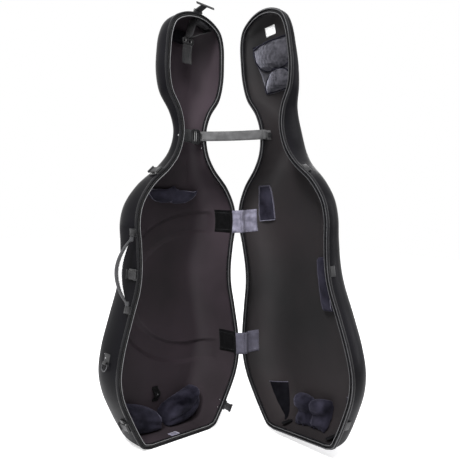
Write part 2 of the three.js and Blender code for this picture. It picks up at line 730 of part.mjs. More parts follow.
function ringPlateGeometry() {
  const half = ringPlateWide / 2;
  const plate = box(-ringPlateDown, ringPlateUp, -half, half, fitGap, ringPlateTall);
  const clipHalf = ringHalfWide - ringWire * 2.5;
  const clip = barAlongX([
    [-ringClipRadius, 0], [ringClipRadius, 0], [ringClipRadius, -ringBarOut + ringPlateTall / 2],
    [-ringClipRadius, -ringBarOut + ringPlateTall / 2],
  ], -clipHalf, clipHalf);
  const around = rodAlongX(ringClipRadius, 0, 0, -clipHalf, clipHalf);
  const bore = rodAlongX(ringWire + fitGap, 0, 0, -half, half);
  const turned = drilled(fused(clip, around), bore).rotateZ(Math.PI / 2).translate(0, 0, ringBarOut);
  const channel = rodAlongX(ringWire + fitGap, 0, 0, -half * 2, half * 2)
    .rotateZ(Math.PI / 2).translate(0, 0, ringBarOut);
  return drilled(fused(plate, turned), channel);
}

// D-shaped ring: a straight bar through the clip and a round bow below it.
function ringGeometry() {
  const route = [[0, -ringHalfWide], [0, ringHalfWide]];
  for (let k = 1; k < ringSteps; k += 1) {
    const angle = (k / ringSteps) * Math.PI;
    route.push([-(ringDrop - ringWire) * Math.sin(angle) ** 0.75, ringHalfWide * Math.cos(angle)]);
  }
  const rings = route.map((p, i) => {
    const a = route[(i + route.length - 1) % route.length];
    const b = route[(i + 1) % route.length];
    const way = new THREE.Vector2(b[0] - a[0], b[1] - a[1]).normalize();
    return Array.from({ length: ringSides }, (_, k) => {
      const angle = (k / ringSides) * Math.PI * 2;
      const out = ringWire * Math.cos(angle);
      return [p[0] + way.y * out, p[1] - way.x * out, ringWire * Math.sin(angle)];
    });
  });
  const faces = [];
  rings.forEach((ring, r) => ring.forEach((_, i) => {
    const next = ((r + 1) % rings.length) * ringSides;
    const j = (i + 1) % ringSides;
    faces.push(r * ringSides + i, r * ringSides + j, next + j);
    faces.push(r * ringSides + i, next + j, next + i);
  }));
  const positions = rings.flat(2);
  if (volumeOf(positions, faces) < 0) faces.reverse();
  return indexed(positions, faces);
}

function addStrapRing(base) {
  const holder = placedGroup(base, ringFrame());
  addMesh(holder, 'strap_ring_plate', ringPlateGeometry(), materials.hardware);
  const ring = addMesh(holder, 'strap_ring', ringGeometry(), materials.steel);
  ring.position.set(0, 0, ringBarOut);
  ring.rotation.y = radians(ringHangDeg);
}

// Soft solid on an inner wall. A rib is [low x, low z, high x, high z, swell], in
// shares of the half width and height; thickAt turns wall depth and swell into bulk.
const roundedSectionShares = [
  [0.06, 0], [0.35, 0], [0.65, 0], [0.94, 0], [1, 0.4], [0.95, 0.78], [0.76, 0.96],
  [0.5, 1], [0.24, 0.96], [0.05, 0.78], [0, 0.4],
];
function cushionOn(shell, ribShares, thickAt, sectionShares, spare = 0) {
  return loft(ribShares.map(([lowX, lowZ, highX, highZ, swell]) => (
    sectionShares.map(([place, rise]) => {
      const x = lerp(lowX, highX, place) * caseHalfWidth;
      const z = lerp(lowZ, highZ, place) * caseHeight;
      const deep = depthAt(shell, x, z) - spare;
      return [x, shell.side * (deep - rise * thickAt(deep, swell)), z];
    })
  )));
}

const mirrored = (ribShares) => ribShares.map(([lowX, lowZ, highX, highZ, swell]) => (
  [-lowX, lowZ, -highX, highZ, swell]
));

const shoulderCushionThick = 27;
const shoulderCushionShares = [
  [-0.448, 0.59, -0.448, 0.5954, 0.25], [-0.408, 0.5792, -0.42, 0.5938, 0.6],
  [-0.344, 0.5691, -0.356, 0.5907, 0.85], [-0.256, 0.5591, -0.256, 0.5915, 1],
  [-0.144, 0.5544, -0.136, 0.5938, 1], [-0.056, 0.5537, -0.044, 0.5969, 1],
  [0, 0.5552, 0, 0.6039, 0.9], [0.056, 0.5537, 0.044, 0.5969, 1],
  [0.144, 0.5544, 0.136, 0.5938, 1], [0.256, 0.5591, 0.256, 0.5915, 1],
  [0.344, 0.5691, 0.356, 0.5907, 0.85], [0.408, 0.5792, 0.42, 0.5938, 0.6],
  [0.448, 0.59, 0.448, 0.5954, 0.25],
];

const bottomCushionFront = 62;
const bottomCushionShares = [
  [0.036, 0.0108, 0.036, 0.034, 0.6], [0.064, 0.0093, 0.06, 0.0448, 0.9],
  [0.144, 0.0093, 0.136, 0.0587, 1], [0.248, 0.0093, 0.248, 0.068, 1],
  [0.368, 0.0108, 0.376, 0.0757, 1], [0.464, 0.0154, 0.488, 0.0819, 1],
  [0.544, 0.0263, 0.576, 0.0873, 0.96], [0.6, 0.0402, 0.624, 0.0888, 0.8],
  [0.632, 0.0541, 0.648, 0.0849, 0.5],
];

const sidePadThick = 30;
const sidePadShares = [
  [-0.404, 0.2927, -0.228, 0.2927, 0.55], [-0.412, 0.2965, -0.22, 0.2965, 0.85],
  [-0.412, 0.3166, -0.216, 0.3166, 1], [-0.408, 0.3475, -0.212, 0.3475, 1],
  [-0.408, 0.3861, -0.216, 0.3861, 1], [-0.412, 0.417, -0.22, 0.417, 0.85],
  [-0.404, 0.4224, -0.232, 0.4224, 0.5],
];

const bridgeCushionFront = 50;
const bridgeSectionShares = [
  [0.05, 0], [0.35, 0], [0.65, 0], [0.94, 0], [1, 0.45], [0.96, 0.84], [0.82, 1],
  [0.64, 0.98], [0.5, 0.72], [0.42, 0.7], [0.28, 0.8], [0.1, 0.74], [0.02, 0.5], [0, 0.3],
];
const bridgeCushionShares = [
  [-0.336, 0.0108, -0.336, 0.0896, 0.5], [-0.32, 0.0085, -0.32, 0.0958, 0.86],
  [-0.248, 0.0077, -0.248, 0.0981, 1], [-0.16, 0.0077, -0.16, 0.0988, 1],
  [-0.072, 0.0077, -0.072, 0.0973, 0.92], [-0.028, 0.0077, -0.028, 0.0911, 0.7],
  [0.028, 0.0077, 0.028, 0.0911, 0.7], [0.072, 0.0077, 0.072, 0.0973, 0.92],
  [0.16, 0.0077, 0.16, 0.0988, 1], [0.248, 0.0077, 0.248, 0.0981, 1],
  [0.32, 0.0085, 0.32, 0.0958, 0.86], [0.336, 0.0108, 0.336, 0.0896, 0.5],
];

const headPadFront = 66;
const headPadShares = [
  [-0.184, 0.9436, -0.16, 0.9622, 0.5], [-0.144, 0.939, -0.128, 0.9668, 1],
  [-0.072, 0.9375, -0.064, 0.9699, 1], [0, 0.9367, 0, 0.9707, 1],
  [0.072, 0.9375, 0.064, 0.9699, 1], [0.144, 0.939, 0.128, 0.9668, 1],
  [0.184, 0.9436, 0.16, 0.9622, 0.5],
];

// Open pocket: a curved panel that stands off the wall at its mouth and lies on it at
// its closed end. A row is [x at one edge, x at the other, z, stand-off].
const panelThick = 2.4;
const panelColumns = 6;
function pocketOn(shell, rowShares, bulge) {
  const grid = (near) => rowShares.map(([fromX, toX, level, stand]) => {
    const z = level * caseHeight;
    const from = depthAt(shell, fromX * caseHalfWidth, z);
    const to = depthAt(shell, toX * caseHalfWidth, z);
    return Array.from({ length: panelColumns + 1 }, (_, k) => {
      const t = k / panelColumns;
      const x = lerp(fromX, toX, t) * caseHalfWidth;
      const wall = depthAt(shell, x, z);
      const chord = lerp(from, to, t) - bulge * Math.sin(Math.PI * t);
      const deep = lerp(wall, Math.min(chord, wall), stand) - near;
      return [x, shell.side * deep, z];
    });
  });
  return sheet(grid(panelThick), grid(0));
}

const mirroredRows = (rows) => rows.map(([from, to, level, stand]) => [-from, -to, level, stand]);

const pouchBulge = 17;
const pouchUpperShares = [
  [-0.296, 0.296, 0.868, 0], [-0.32, 0.32, 0.8726, 0.45],
  [-0.34, 0.34, 0.8826, 0.85], [-0.352, 0.352, 0.8973, 1],
  [-0.352, 0.352, 0.9158, 0.9], [-0.344, 0.344, 0.9282, 0.8],
];
const pouchLowerShares = [
  [-0.256, 0.256, 0.8201, 0], [-0.264, 0.264, 0.8239, 0.5],
  [-0.272, 0.272, 0.834, 0.95], [-0.264, 0.264, 0.8494, 1],
  [-0.24, 0.24, 0.8641, 0.9],
];

const tipBulge = 6;
const tipPocketShares = [
  [0.488, 0.696, 0.5151, 1], [0.488, 0.696, 0.5328, 1],
  [0.484, 0.672, 0.556, 1], [0.48, 0.632, 0.5776, 0.85],
  [0.476, 0.592, 0.5931, 0.4], [0.476, 0.568, 0.6015, 0],
];
const frogBulge = 4;
const frogPocketShares = [
  [0.448, 0.496, 0.0124, 0], [0.44, 0.56, 0.0263, 0.7],
  [0.428, 0.656, 0.0494, 1], [0.416, 0.736, 0.0741, 1], [0.408, 0.8, 0.0988, 1],
];

// Webbing of even width along a route in the x, y plane or the x, z plane.
const webThick = 2;
const neckStrapShare = 0.7166;
const neckStrapWide = 39;
const neckStrapFront = 18;
const neckStrapTurn = 20;
const buckleThick = 5;
const buckleHigh = 45;
const buckleWide = 32;
const buckleBar = 5;
const neckBuckleShare = 0.08;

function neckStrapGeometry() {
  const middle = neckStrapShare * caseHeight;
  const narrow = (deep) => narrowest(middle, neckStrapWide, (z) => widthAt(baseShell, deep, z, 1)) - fitGap;
  const low = neckStrapFront + neckStrapTurn;
  const side = [
    [narrow(low), low], [narrow(low - neckStrapTurn / 2), low - neckStrapTurn / 2],
    [narrow(neckStrapFront) - webThick * 2, neckStrapFront],
  ];
  const path = [...side, ...side.map(([x, y]) => [-x, y]).reverse()];
  const shape = new THREE.Shape(ribbonOutline(path, -webThick).map(([x, y]) => new THREE.Vector2(x, y)));
  const geometry = new THREE.ExtrudeGeometry(shape, { depth: neckStrapWide, bevelEnabled: false });
  return geometry.translate(0, 0, middle - neckStrapWide / 2);
}

// Flat ladder buckle lying on its webbing, in the x, z plane.
function buckleGeometry(wide, high) {
  const frame = (w, h) => {
    const shape = new THREE.Shape();
    shape.absellipse(0, 0, w / 2, h / 2, 0, Math.PI * 2);
    return shape;
  };
  const slotWide = (wide - buckleBar * 3) / 2;
  const slotHigh = high - buckleBar * 2;
  const plate = new THREE.ExtrudeGeometry(frame(wide * 1.28, high * 1.28), {
    depth: buckleThick, bevelEnabled: false, curveSegments: 5,
  }).rotateX(Math.PI / 2).translate(0, buckleThick, 0);
  const crop = box(-wide / 2, wide / 2, 0, buckleThick, -high / 2, high / 2);
  const slot = (x) => box(
    x - slotWide / 2, x + slotWide / 2, -buckleThick, buckleThick * 2, -slotHigh / 2, slotHigh / 2,
  );
  const apart = (slotWide + buckleBar) / 2;
  const body = geometryOf(solidOf(plate).intersect(solidOf(crop)));
  return drilled(body, slot(-apart), slot(apart));
}

// Head strap: a loop of webbing on the head's end wall, drawn together at a buckle.
const headStrapNear = 15;
const headStrapWide = 37;
const headLeftShare = 0.032;
const headRightShare = 0.28;
const headBuckleX = -0.04;
const headBuckleShare = 0.9367;
const headBuckleHigh = 18;
const headTailWide = 38;
const headTailShare = 0.8849;
const headStrapSag = 3;

function headStrapGeometry() {
  const ceiling = (x) => Math.min(...[headStrapNear, headStrapNear + headStrapWide].map((deep) => (
    ceilingAt(baseShell, x, deep)
  ))) - fitGap * 1.5;
  const left = headLeftShare * caseHalfWidth;
  const right = headRightShare * caseHalfWidth;
  const low = headBuckleShare * caseHeight + headBuckleHigh / 2 + fitGap * 3;
  const foot = headBuckleX * caseHalfWidth;
  const top = [0, 0.33, 0.67, 1].map((t) => {
    const x = lerp(left, right, t);
    return [x, ceiling(x)];
  });
  const bend = webThick * 1.5;
  const path = [
    [foot - webThick, low],
    [lerp(foot, left, 0.6) - headStrapSag, lerp(low, ceiling(left), 0.6)],
    [left - bend, ceiling(left) - bend], ...top, [right + bend, ceiling(right) - bend * 2],
    [lerp(foot, right, 0.5) + headStrapSag, lerp(low, ceiling(right), 0.45)],
    [foot + webThick * 2, low],
  ];
  const outline = ribbonOutline(path, -webThick);
  const shape = new THREE.Shape(outline.map(([x, z]) => new THREE.Vector2(x, z)));
  const geometry = new THREE.ExtrudeGeometry(shape, { depth: headStrapWide, bevelEnabled: false });
  return geometry.rotateX(Math.PI / 2).translate(0, headStrapNear + headStrapWide, 0);
}

function headTailGeometry() {
  const high = headBuckleShare * caseHeight - headBuckleHigh / 2 - fitGap;
  const low = headTailShare * caseHeight;
  const middle = headStrapNear + headStrapWide / 2;
  const half = headTailWide / 2;
  const foot = headBuckleX * caseHalfWidth;
  const steps = [0, 0.25, 0.5, 0.75, 1];
  const rows = (near) => steps.map((t) => [-half, 0, half].map((x) => (
    [foot + x, middle + near + headStrapSag * Math.sin(Math.PI * t), lerp(high, low, t)]
  )));
  return sheet(rows(0), rows(webThick));
}

// Strips of webbing that follow an inner wall. Rows run in depth, columns in height.
const bandWide = 73;
const bandColumns = 4;
const bandThick = 1.6;
const bandUpperShare = 0.5181;
const bandLowerShare = 0.2042;
const bandBaseDeep = 80;
const bandLidDeep = 60;
const edgeInset = insetOutline(rimOutline, rimWidth + fitGap);

function bandRows(shell, share, deep, inward) {
  const levels = Array.from({ length: bandColumns + 1 }, (_, k) => (
    share * caseHeight + bandWide * (k / bandColumns - 0.5)
  ));
  const onWall = [deep, lerp(deep, rimTall, 0.35), lerp(deep, rimTall, 0.7)].map((y) => levels.map((z) => (
    [widthAt(shell, y, z, 1) - fitGap - inward, shell.side * y, z]
  )));
  const onEdge = [rimTall + fitGap, fitGap].map((y) => levels.map((z) => (
    [outlineXAt(edgeInset, z) - inward, shell.side * y, z]
  )));
  return [...onWall, ...onEdge];
}
const bandGeometry = (shell, share, deep) => sheet(
  bandRows(shell, share, deep, bandThick), bandRows(shell, share, deep, 0),
);

const swung = ([x, y, z]) => new THREE.Vector3(x, y, z).applyMatrix4(lidSwing).toArray();

// The part of a band that crosses the opening, drawn in the open pose.
const foldSteps = 4;
function foldGeometry(share) {
  const levels = Array.from({ length: bandColumns + 1 }, (_, k) => (
    share * caseHeight + bandWide * (k / bandColumns - 0.5)
  ));
  const rows = (inward, lower) => Array.from({ length: foldSteps + 1 }, (_, s) => levels.map((z) => {
    const x = outlineXAt(edgeInset, z) - inward;
    const near = [x, -lower, z];
    const far = swung([x, lower, z]);
    return near.map((value, axis) => lerp(value, far[axis], s / foldSteps));
  }));
  return sheet(rows(bandThick, fitGap), rows(0, fitGap));
}

// Stay strap across the neck opening, from the base's edging to the lid's inner wall.
const stayShare = 0.7185;
const stayWide = 29.5;
const stayThick = 2.4;
const stayLidDeep = 38;
const anchorThick = 2.4;
const anchorLong = 14;

const stayMiddle = stayShare * caseHeight;
const stayNarrow = (place) => narrowest(stayMiddle, stayWide, place);
const stayEdge = stayNarrow((z) => outlineXAt(edgeInset, z));
const stayLidWall = (deep) => stayNarrow((z) => widthAt(lidShell, deep, z, 1)) - fitGap;

function stayStrapGeometry() {
  const ends = [stayMiddle - stayWide / 2, stayMiddle, stayMiddle + stayWide / 2];
  const onBase = [rimTall, rimTall / 2, -fitGap];
  const onLid = [
    [stayEdge, -fitGap], [stayEdge, rimTall + fitGap],
    [stayLidWall(stayLidDeep * 0.6), stayLidDeep * 0.6], [stayLidWall(stayLidDeep), stayLidDeep],
  ];
  const rows = (inward) => [
    ...onBase.map((deep) => ends.map((z) => [stayEdge - inward, deep, z])),
    ...onLid.map(([x, deep]) => ends.map((z) => swung([x - inward, -deep, z]))),
  ];
  return sheet(rows(stayThick), rows(0));
}

// Flat plate riveted through the strap, on its inner face.
function anchorGeometry(face, nearDeep, farDeep) {
  const half = anchorLong / 2;
  const low = Math.min(nearDeep, farDeep);
  const high = Math.max(nearDeep, farDeep);
  return box(face - anchorThick, face, low, high, stayMiddle - half, stayMiddle + half);
}

function addStayStrap(base, lid) {
  addMesh(base, 'stay_strap', stayStrapGeometry(), materials.greyWeb);
  const face = stayEdge - stayThick - fitGap;
  const onEdge = anchorGeometry(face, fitGap * 5, rimTall - fitGap);
  addMesh(base, 'stay_anchor_base', onEdge, materials.hardware);
  const lidFace = stayLidWall(stayLidDeep) - stayThick - fitGap;
  const onWall = anchorGeometry(lidFace, -stayLidDeep + anchorLong, -stayLidDeep);
  addMesh(lid, 'stay_anchor_lid', onWall, materials.hardware);
}

// Endpin strap on the back between the bottom cushions, and the patch on the floor.
const endpinStrapX = 0.04;
const endpinStrapWide = 24;
const endpinLowShare = 0.0618;
const endpinHighShare = 0.0988;
const endpinLoopOut = 14;
const patchWide = 34;
const patchNear = 12;
const patchFar = 46;
const patchThick = 1.6;

function endpinStrapGeometry() {
  const steps = 8;
  const rows = (near) => Array.from({ length: steps + 1 }, (_, s) => {
    const t = s / steps;
    const z = lerp(endpinLowShare, endpinHighShare, t) * caseHeight;
    const out = endpinLoopOut * Math.max(0, Math.sin(Math.PI * (t * 1.5 - 0.25)));
    return [-0.5, 0, 0.5].map((k) => {
      const x = endpinStrapX * caseHalfWidth + endpinStrapWide * k;
      return [x, depthAt(baseShell, x, z) - near - out, z];
    });
  });
  return sheet(rows(webThick), rows(0));
}

function gripPatchGeometry() {
  const rows = (up) => [0, 0.33, 0.67, 1].map((t) => {
    const deep = lerp(patchNear, patchFar, t);
    return [-0.5, 0, 0.5].map((k) => [
      patchWide * k, deep, floorAt(baseShell, patchWide * k, deep) + fitGap * 1.5 + up,
    ]);
  });
  return sheet(rows(patchThick), rows(0));
}

// Small oblong fixings on the lid's bottom wall.
const fixingShare = 0.4;
const fixingNear = 25;
const fixingFar = 66;
const fixingWide = 16;
const fixingTall = 4;

function fixingGeometry(hand) {
  const x = hand * fixingShare * caseHalfWidth;
  const half = fixingWide / 2;
  const straight = fixingFar - fixingNear - fixingWide;
  const corners = [-half, half].flatMap((k) => [fixingNear, (fixingNear + fixingFar) / 2, fixingFar]
    .map((deep) => floorAt(lidShell, x + k, deep)));
  const level = Math.max(...corners) + fitGap;
  const shape = new THREE.Shape();
  shape.absarc(0, straight / 2, half, 0, Math.PI);
  shape.absarc(0, -straight / 2, half, Math.PI, Math.PI * 2);
  const pill = new THREE.ExtrudeGeometry(shape, {
    depth: fixingTall, bevelEnabled: false, curveSegments: 8,
  });
  return pill.translate(x, -(fixingNear + fixingFar) / 2, level);
}

function addBaseLining(base) {
  const flat = (thick) => (deep, swell) => thick * swell;
  const upTo = (front) => (deep, swell) => (deep - front) * swell;
  const rounded = roundedSectionShares;
  const pad = (name, shares, thickAt, spare) => (
    addMesh(base, name, cushionOn(baseShell, shares, thickAt, rounded, spare), materials.velvet)
  );
  pad('shoulder_cushion', shoulderCushionShares, flat(shoulderCushionThick), fitGap * 3);
  pad('bottom_cushion_right', bottomCushionShares, upTo(bottomCushionFront));
  pad('bottom_cushion_left', mirrored(bottomCushionShares), upTo(bottomCushionFront));
  pad('head_pad', headPadShares, upTo(headPadFront));
  addMesh(base, 'neck_strap', neckStrapGeometry(), materials.blackWeb);
  const neckBuckle = buckleGeometry(buckleWide, buckleHigh)
    .translate(neckBuckleShare * caseHalfWidth, neckStrapFront - buckleThick - fitGap, neckStrapShare * caseHeight);
  addMesh(base, 'neck_buckle', neckBuckle, materials.hardware);
  addMesh(base, 'head_strap', headStrapGeometry(), materials.blackWeb);
  addMesh(base, 'head_strap_tail', headTailGeometry(), materials.greyWeb);
  const headMid = headStrapNear + headStrapWide / 2;
  const headBuckle = buckleGeometry(buckleHigh, headBuckleHigh)
    .translate(headBuckleX * caseHalfWidth, headMid - buckleThick / 2, headBuckleShare * caseHeight);
  addMesh(base, 'head_buckle', headBuckle, materials.hardware);
  addMesh(base, 'endpin_strap', endpinStrapGeometry(), materials.blackWeb);
  addMesh(base, 'grip_patch', gripPatchGeometry(), materials.paleVelvet);
  const upper = bandGeometry(baseShell, bandUpperShare, bandBaseDeep);
  addMesh(base, 'hinge_band_base_upper', upper, materials.blackWeb);
  const lower = bandGeometry(baseShell, bandLowerShare, bandBaseDeep);
  addMesh(base, 'hinge_band_base_lower', lower, materials.blackWeb);
}

function addLidLining(lid) {
  const { velvet, paleVelvet, trim } = materials;
  const flat = (deep, swell) => sidePadThick * swell;
  addMesh(lid, 'side_pad', cushionOn(lidShell, sidePadShares, flat, roundedSectionShares), velvet);
  const upTo = (deep, swell) => (deep - bridgeCushionFront) * swell;
  const bridge = cushionOn(lidShell, bridgeCushionShares, upTo, bridgeSectionShares);
  addMesh(lid, 'bridge_cushion', bridge, velvet);
  addMesh(lid, 'pouch_upper_pocket', pocketOn(lidShell, pouchUpperShares, pouchBulge), velvet);
  addMesh(lid, 'pouch_lower_pocket', pocketOn(lidShell, pouchLowerShares, pouchBulge), velvet);
  const tips = [['right', tipPocketShares], ['left', mirroredRows(tipPocketShares)]];
  tips.forEach(([name, rows]) => {
    addMesh(lid, `bow_tip_pocket_${name}`, pocketOn(lidShell, rows, tipBulge), velvet);
  });
  const frogs = [['right', frogPocketShares], ['left', mirroredRows(frogPocketShares)]];
  frogs.forEach(([name, rows]) => {
    addMesh(lid, `bow_frog_pocket_${name}`, pocketOn(lidShell, rows, frogBulge), velvet);
  });
  addMesh(lid, 'bottom_fixing_right', fixingGeometry(1), trim);
  addMesh(lid, 'bottom_fixing_left', fixingGeometry(-1), trim);
  const upper = bandGeometry(lidShell, bandUpperShare, bandLidDeep);
  addMesh(lid, 'hinge_band_lid_upper', upper, paleVelvet);
  const lower = bandGeometry(lidShell, bandLowerShare, bandLidDeep);
  addMesh(lid, 'hinge_band_lid_lower', lower, paleVelvet);
}

const group = new THREE.Group();
const base = new THREE.Group();
const lid = placedGroup(group, lidSwing);
group.add(base);

addMesh(base, 'base_shell', baseShellGeometry(), materials.shell);
addMesh(base, 'base_edging', edgingGeometry(1), materials.trim);
addMesh(base, 'rim_seal', sealGeometry(), materials.rubber);
addMesh(lid, 'lid_shell', lidShellGeometry(), materials.shell);
addMesh(lid, 'lid_edging', edgingGeometry(-1), materials.trim);
addHinge(base, lid, 'upper', hingeUpperShare);
addHinge(base, lid, 'lower', hingeLowerShare);
latches.forEach((latch) => addLatch(base, lid, latch));
addHandle(base);
addStrapRing(base);
addBaseLining(base);
addLidLining(lid);
addStayStrap(base, lid);
addMesh(base, 'hinge_fold_upper', foldGeometry(bandUpperShare), materials.paleVelvet);
addMesh(base, 'hinge_fold_lower', foldGeometry(bandLowerShare), materials.paleVelvet);

export default group;
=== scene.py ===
# %% [markdown]
# # A cello hard case, standing open
# The case is two moulded shells that meet at a narrow rim and fold apart on hinges.
# Inside are velvet pads, pockets and webbing straps; outside are draw latches, a side
# handle and a ring for a carrying strap. Every piece here sits in the frame of the
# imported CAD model, so the first step is to load that frame.

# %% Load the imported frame
import json
import math

import bmesh
import bpy
import numpy as np
from mathutils import Matrix, Vector
from mathutils.bvhtree import BVHTree


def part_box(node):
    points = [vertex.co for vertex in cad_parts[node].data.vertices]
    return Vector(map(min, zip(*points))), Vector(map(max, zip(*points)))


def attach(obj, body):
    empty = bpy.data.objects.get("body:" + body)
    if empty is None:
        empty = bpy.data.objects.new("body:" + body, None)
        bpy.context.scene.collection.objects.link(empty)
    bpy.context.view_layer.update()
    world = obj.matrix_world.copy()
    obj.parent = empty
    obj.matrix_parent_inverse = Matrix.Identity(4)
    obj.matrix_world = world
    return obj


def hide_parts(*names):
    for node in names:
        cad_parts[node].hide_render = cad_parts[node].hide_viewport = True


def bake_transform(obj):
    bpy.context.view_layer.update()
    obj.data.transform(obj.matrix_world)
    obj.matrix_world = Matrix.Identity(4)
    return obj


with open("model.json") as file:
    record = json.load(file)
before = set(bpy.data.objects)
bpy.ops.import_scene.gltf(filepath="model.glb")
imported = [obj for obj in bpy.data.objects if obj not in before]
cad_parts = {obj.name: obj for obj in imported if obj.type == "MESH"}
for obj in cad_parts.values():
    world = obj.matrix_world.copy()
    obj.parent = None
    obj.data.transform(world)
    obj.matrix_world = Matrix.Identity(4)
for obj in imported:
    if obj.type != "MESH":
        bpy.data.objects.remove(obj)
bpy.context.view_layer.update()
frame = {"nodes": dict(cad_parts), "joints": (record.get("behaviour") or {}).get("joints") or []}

# %% [markdown]
# ## The camera
# The picture was taken from the front left at about half the height of the case. A lens
# and three angles place the camera: it is turned by the yaw, tipped by the pitch and
# rolled a little. Building its axes by cross products keeps each angle's meaning plain.

# %% Camera
FOCAL_PIXELS, PICTURE_PIXELS, SENSOR_MM = 597.1, 460.0, 36.0
CAMERA_PLACE = Vector((-1.254, -1.311, 0.709))
YAW, PITCH, ROLL = math.radians(47.53), math.radians(-1.92), math.radians(2.49)

ahead = Vector((math.sin(YAW) * math.cos(PITCH), math.cos(YAW) * math.cos(PITCH), math.sin(PITCH)))
level = Vector((math.cos(YAW), -math.sin(YAW), 0))
above = level.cross(ahead)
across = level * math.cos(ROLL) + above * math.sin(ROLL)
upward = above * math.cos(ROLL) - level * math.sin(ROLL)

lens = bpy.data.cameras.new("front_left_view")
lens.sensor_width = SENSOR_MM
lens.lens = FOCAL_PIXELS / PICTURE_PIXELS * SENSOR_MM
camera = bpy.data.objects.new("front_left_view", lens)
turn = Matrix((across, upward, -ahead)).transposed().to_4x4()
camera.matrix_world = Matrix.Translation(CAMERA_PLACE) @ turn
bpy.context.scene.collection.objects.link(camera)
bpy.context.scene.camera = camera
bpy.context.scene.view_settings.view_transform = "Standard"
print("lens", round(lens.lens, 2), "mm")

# %% [markdown]
# ## Studio: the world
# The case is nearly black, so its shape is read from what it mirrors. The world is
# white where the camera, a mirror or clear glass looks at it and dimmer for plain
# light, so the backdrop is white without washing out the black. A real white wall
# would light the case as well, so the kind of ray picks between two backgrounds.

# %% World
WORLD_FILL, WORLD_TINT, WHITE = 0.24, (0.97, 0.96, 1.0, 1), (1, 1, 1, 1)


def node_tree(owner):
    owner.use_nodes = True
    owner.node_tree.nodes.clear()
    return owner.node_tree.nodes, owner.node_tree.links


world = bpy.data.worlds.new("white_studio")
bpy.context.scene.world = world
nodes, links = node_tree(world)
path = nodes.new("ShaderNodeLightPath")
plain, seen = nodes.new("ShaderNodeBackground"), nodes.new("ShaderNodeBackground")
for background, tint, strength in ((plain, WORLD_TINT, WORLD_FILL), (seen, WHITE, 1.0)):
    background.inputs["Color"].default_value = tint
    background.inputs["Strength"].default_value = strength
mix = nodes.new("ShaderNodeMixShader")
out = nodes.new("ShaderNodeOutputWorld")
looked_at = path.outputs["Is Camera Ray"]
for ray in ("Is Glossy Ray", "Is Transmission Ray"):
    either = nodes.new("ShaderNodeMath")
    either.operation = "MAXIMUM"
    links.new(looked_at, either.inputs[0])
    links.new(path.outputs[ray], either.inputs[1])
    looked_at = either.outputs[0]
links.new(looked_at, mix.inputs[0])
links.new(plain.outputs[0], mix.inputs[1])
links.new(seen.outputs[0], mix.inputs[2])
links.new(mix.outputs[0], out.inputs["Surface"])
print("world fill", WORLD_FILL)

# %% [markdown]
# ## Studio: the floor
# A sheet of pale paper keeps the shadow of the case. It glows for the camera, and more
# with distance, so it runs into the white backdrop without a horizon line and no lamp
# has to be turned up for it.

# %% Pale floor
FLOOR_REACH, FLOOR_DROP, PAPER = 9.0, 0.0006, (0.86, 0.86, 0.87, 1)
GLOW = {"From Min": 0.6, "From Max": 3.0, "To Min": 0.6, "To Max": 1.0}

floor_mesh = bpy.data.meshes.new("pale_floor")
corners = [(x * FLOOR_REACH, y * FLOOR_REACH, -FLOOR_DROP) for x, y in ((-1, -1), (1, -1), (1, 1), (-1, 1))]
floor_mesh.from_pydata(corners, [], [(0, 1, 2, 3)])
floor = bpy.data.objects.new("pale_floor", floor_mesh)
bpy.context.scene.collection.objects.link(floor)

paper = bpy.data.materials.new("pale_paper")
nodes, links = node_tree(paper)
matt = nodes.new("ShaderNodeBsdfDiffuse")
matt.inputs["Color"].default_value = PAPER
glow = nodes.new("ShaderNodeEmission")
far, rising = nodes.new("ShaderNodeVectorMath"), nodes.new("ShaderNodeMapRange")
far.operation = "LENGTH"
links.new(nodes.new("ShaderNodeTexCoord").outputs["Object"], far.inputs[0])
for socket, value in GLOW.items():
    rising.inputs[socket].default_value = value
links.new(far.outputs["Value"], rising.inputs["Value"])
links.new(rising.outputs["Result"], glow.inputs["Strength"])
path = nodes.new("ShaderNodeLightPath")
both, pick = nodes.new("ShaderNodeAddShader"), nodes.new("ShaderNodeMixShader")
out = nodes.new("ShaderNodeOutputMaterial")
links.new(matt.outputs[0], both.inputs[0])
links.new(glow.outputs[0], both.inputs[1])
links.new(path.outputs["Is Camera Ray"], pick.inputs[0])
links.new(matt.outputs[0], pick.inputs[1])
links.new(both.outputs[0], pick.inputs[2])
links.new(pick.outputs[0], out.inputs["Surface"])
floor_mesh.materials.append(paper)
print("floor", 2 * FLOOR_REACH, "m wide")

# %% [markdown]
# ## Studio: the lamps
# Soft boxes fill the open shells from the front left, and narrow strips draw bands along
# the outside. A box that only fills is kept out of reflections, or it would show as a
# pale patch in the satin lining. The box behind gives the back of the case its form.

# %% Lamps
def area_lamp(name, place, aim, size, power, tint=(1, 1, 1), mirrored=True):
    data = bpy.data.lights.new(name, "AREA")
    data.shape, data.size, data.size_y = "RECTANGLE", size[0], size[1]
    data.energy, data.color = power, tint
    lamp = bpy.data.objects.new(name, data)
    lamp.location = place
    lamp.visible_glossy = mirrored
    lamp.rotation_euler = (Vector(aim) - Vector(place)).to_track_quat("-Z", "Y").to_euler()
    bpy.context.scene.collection.objects.link(lamp)


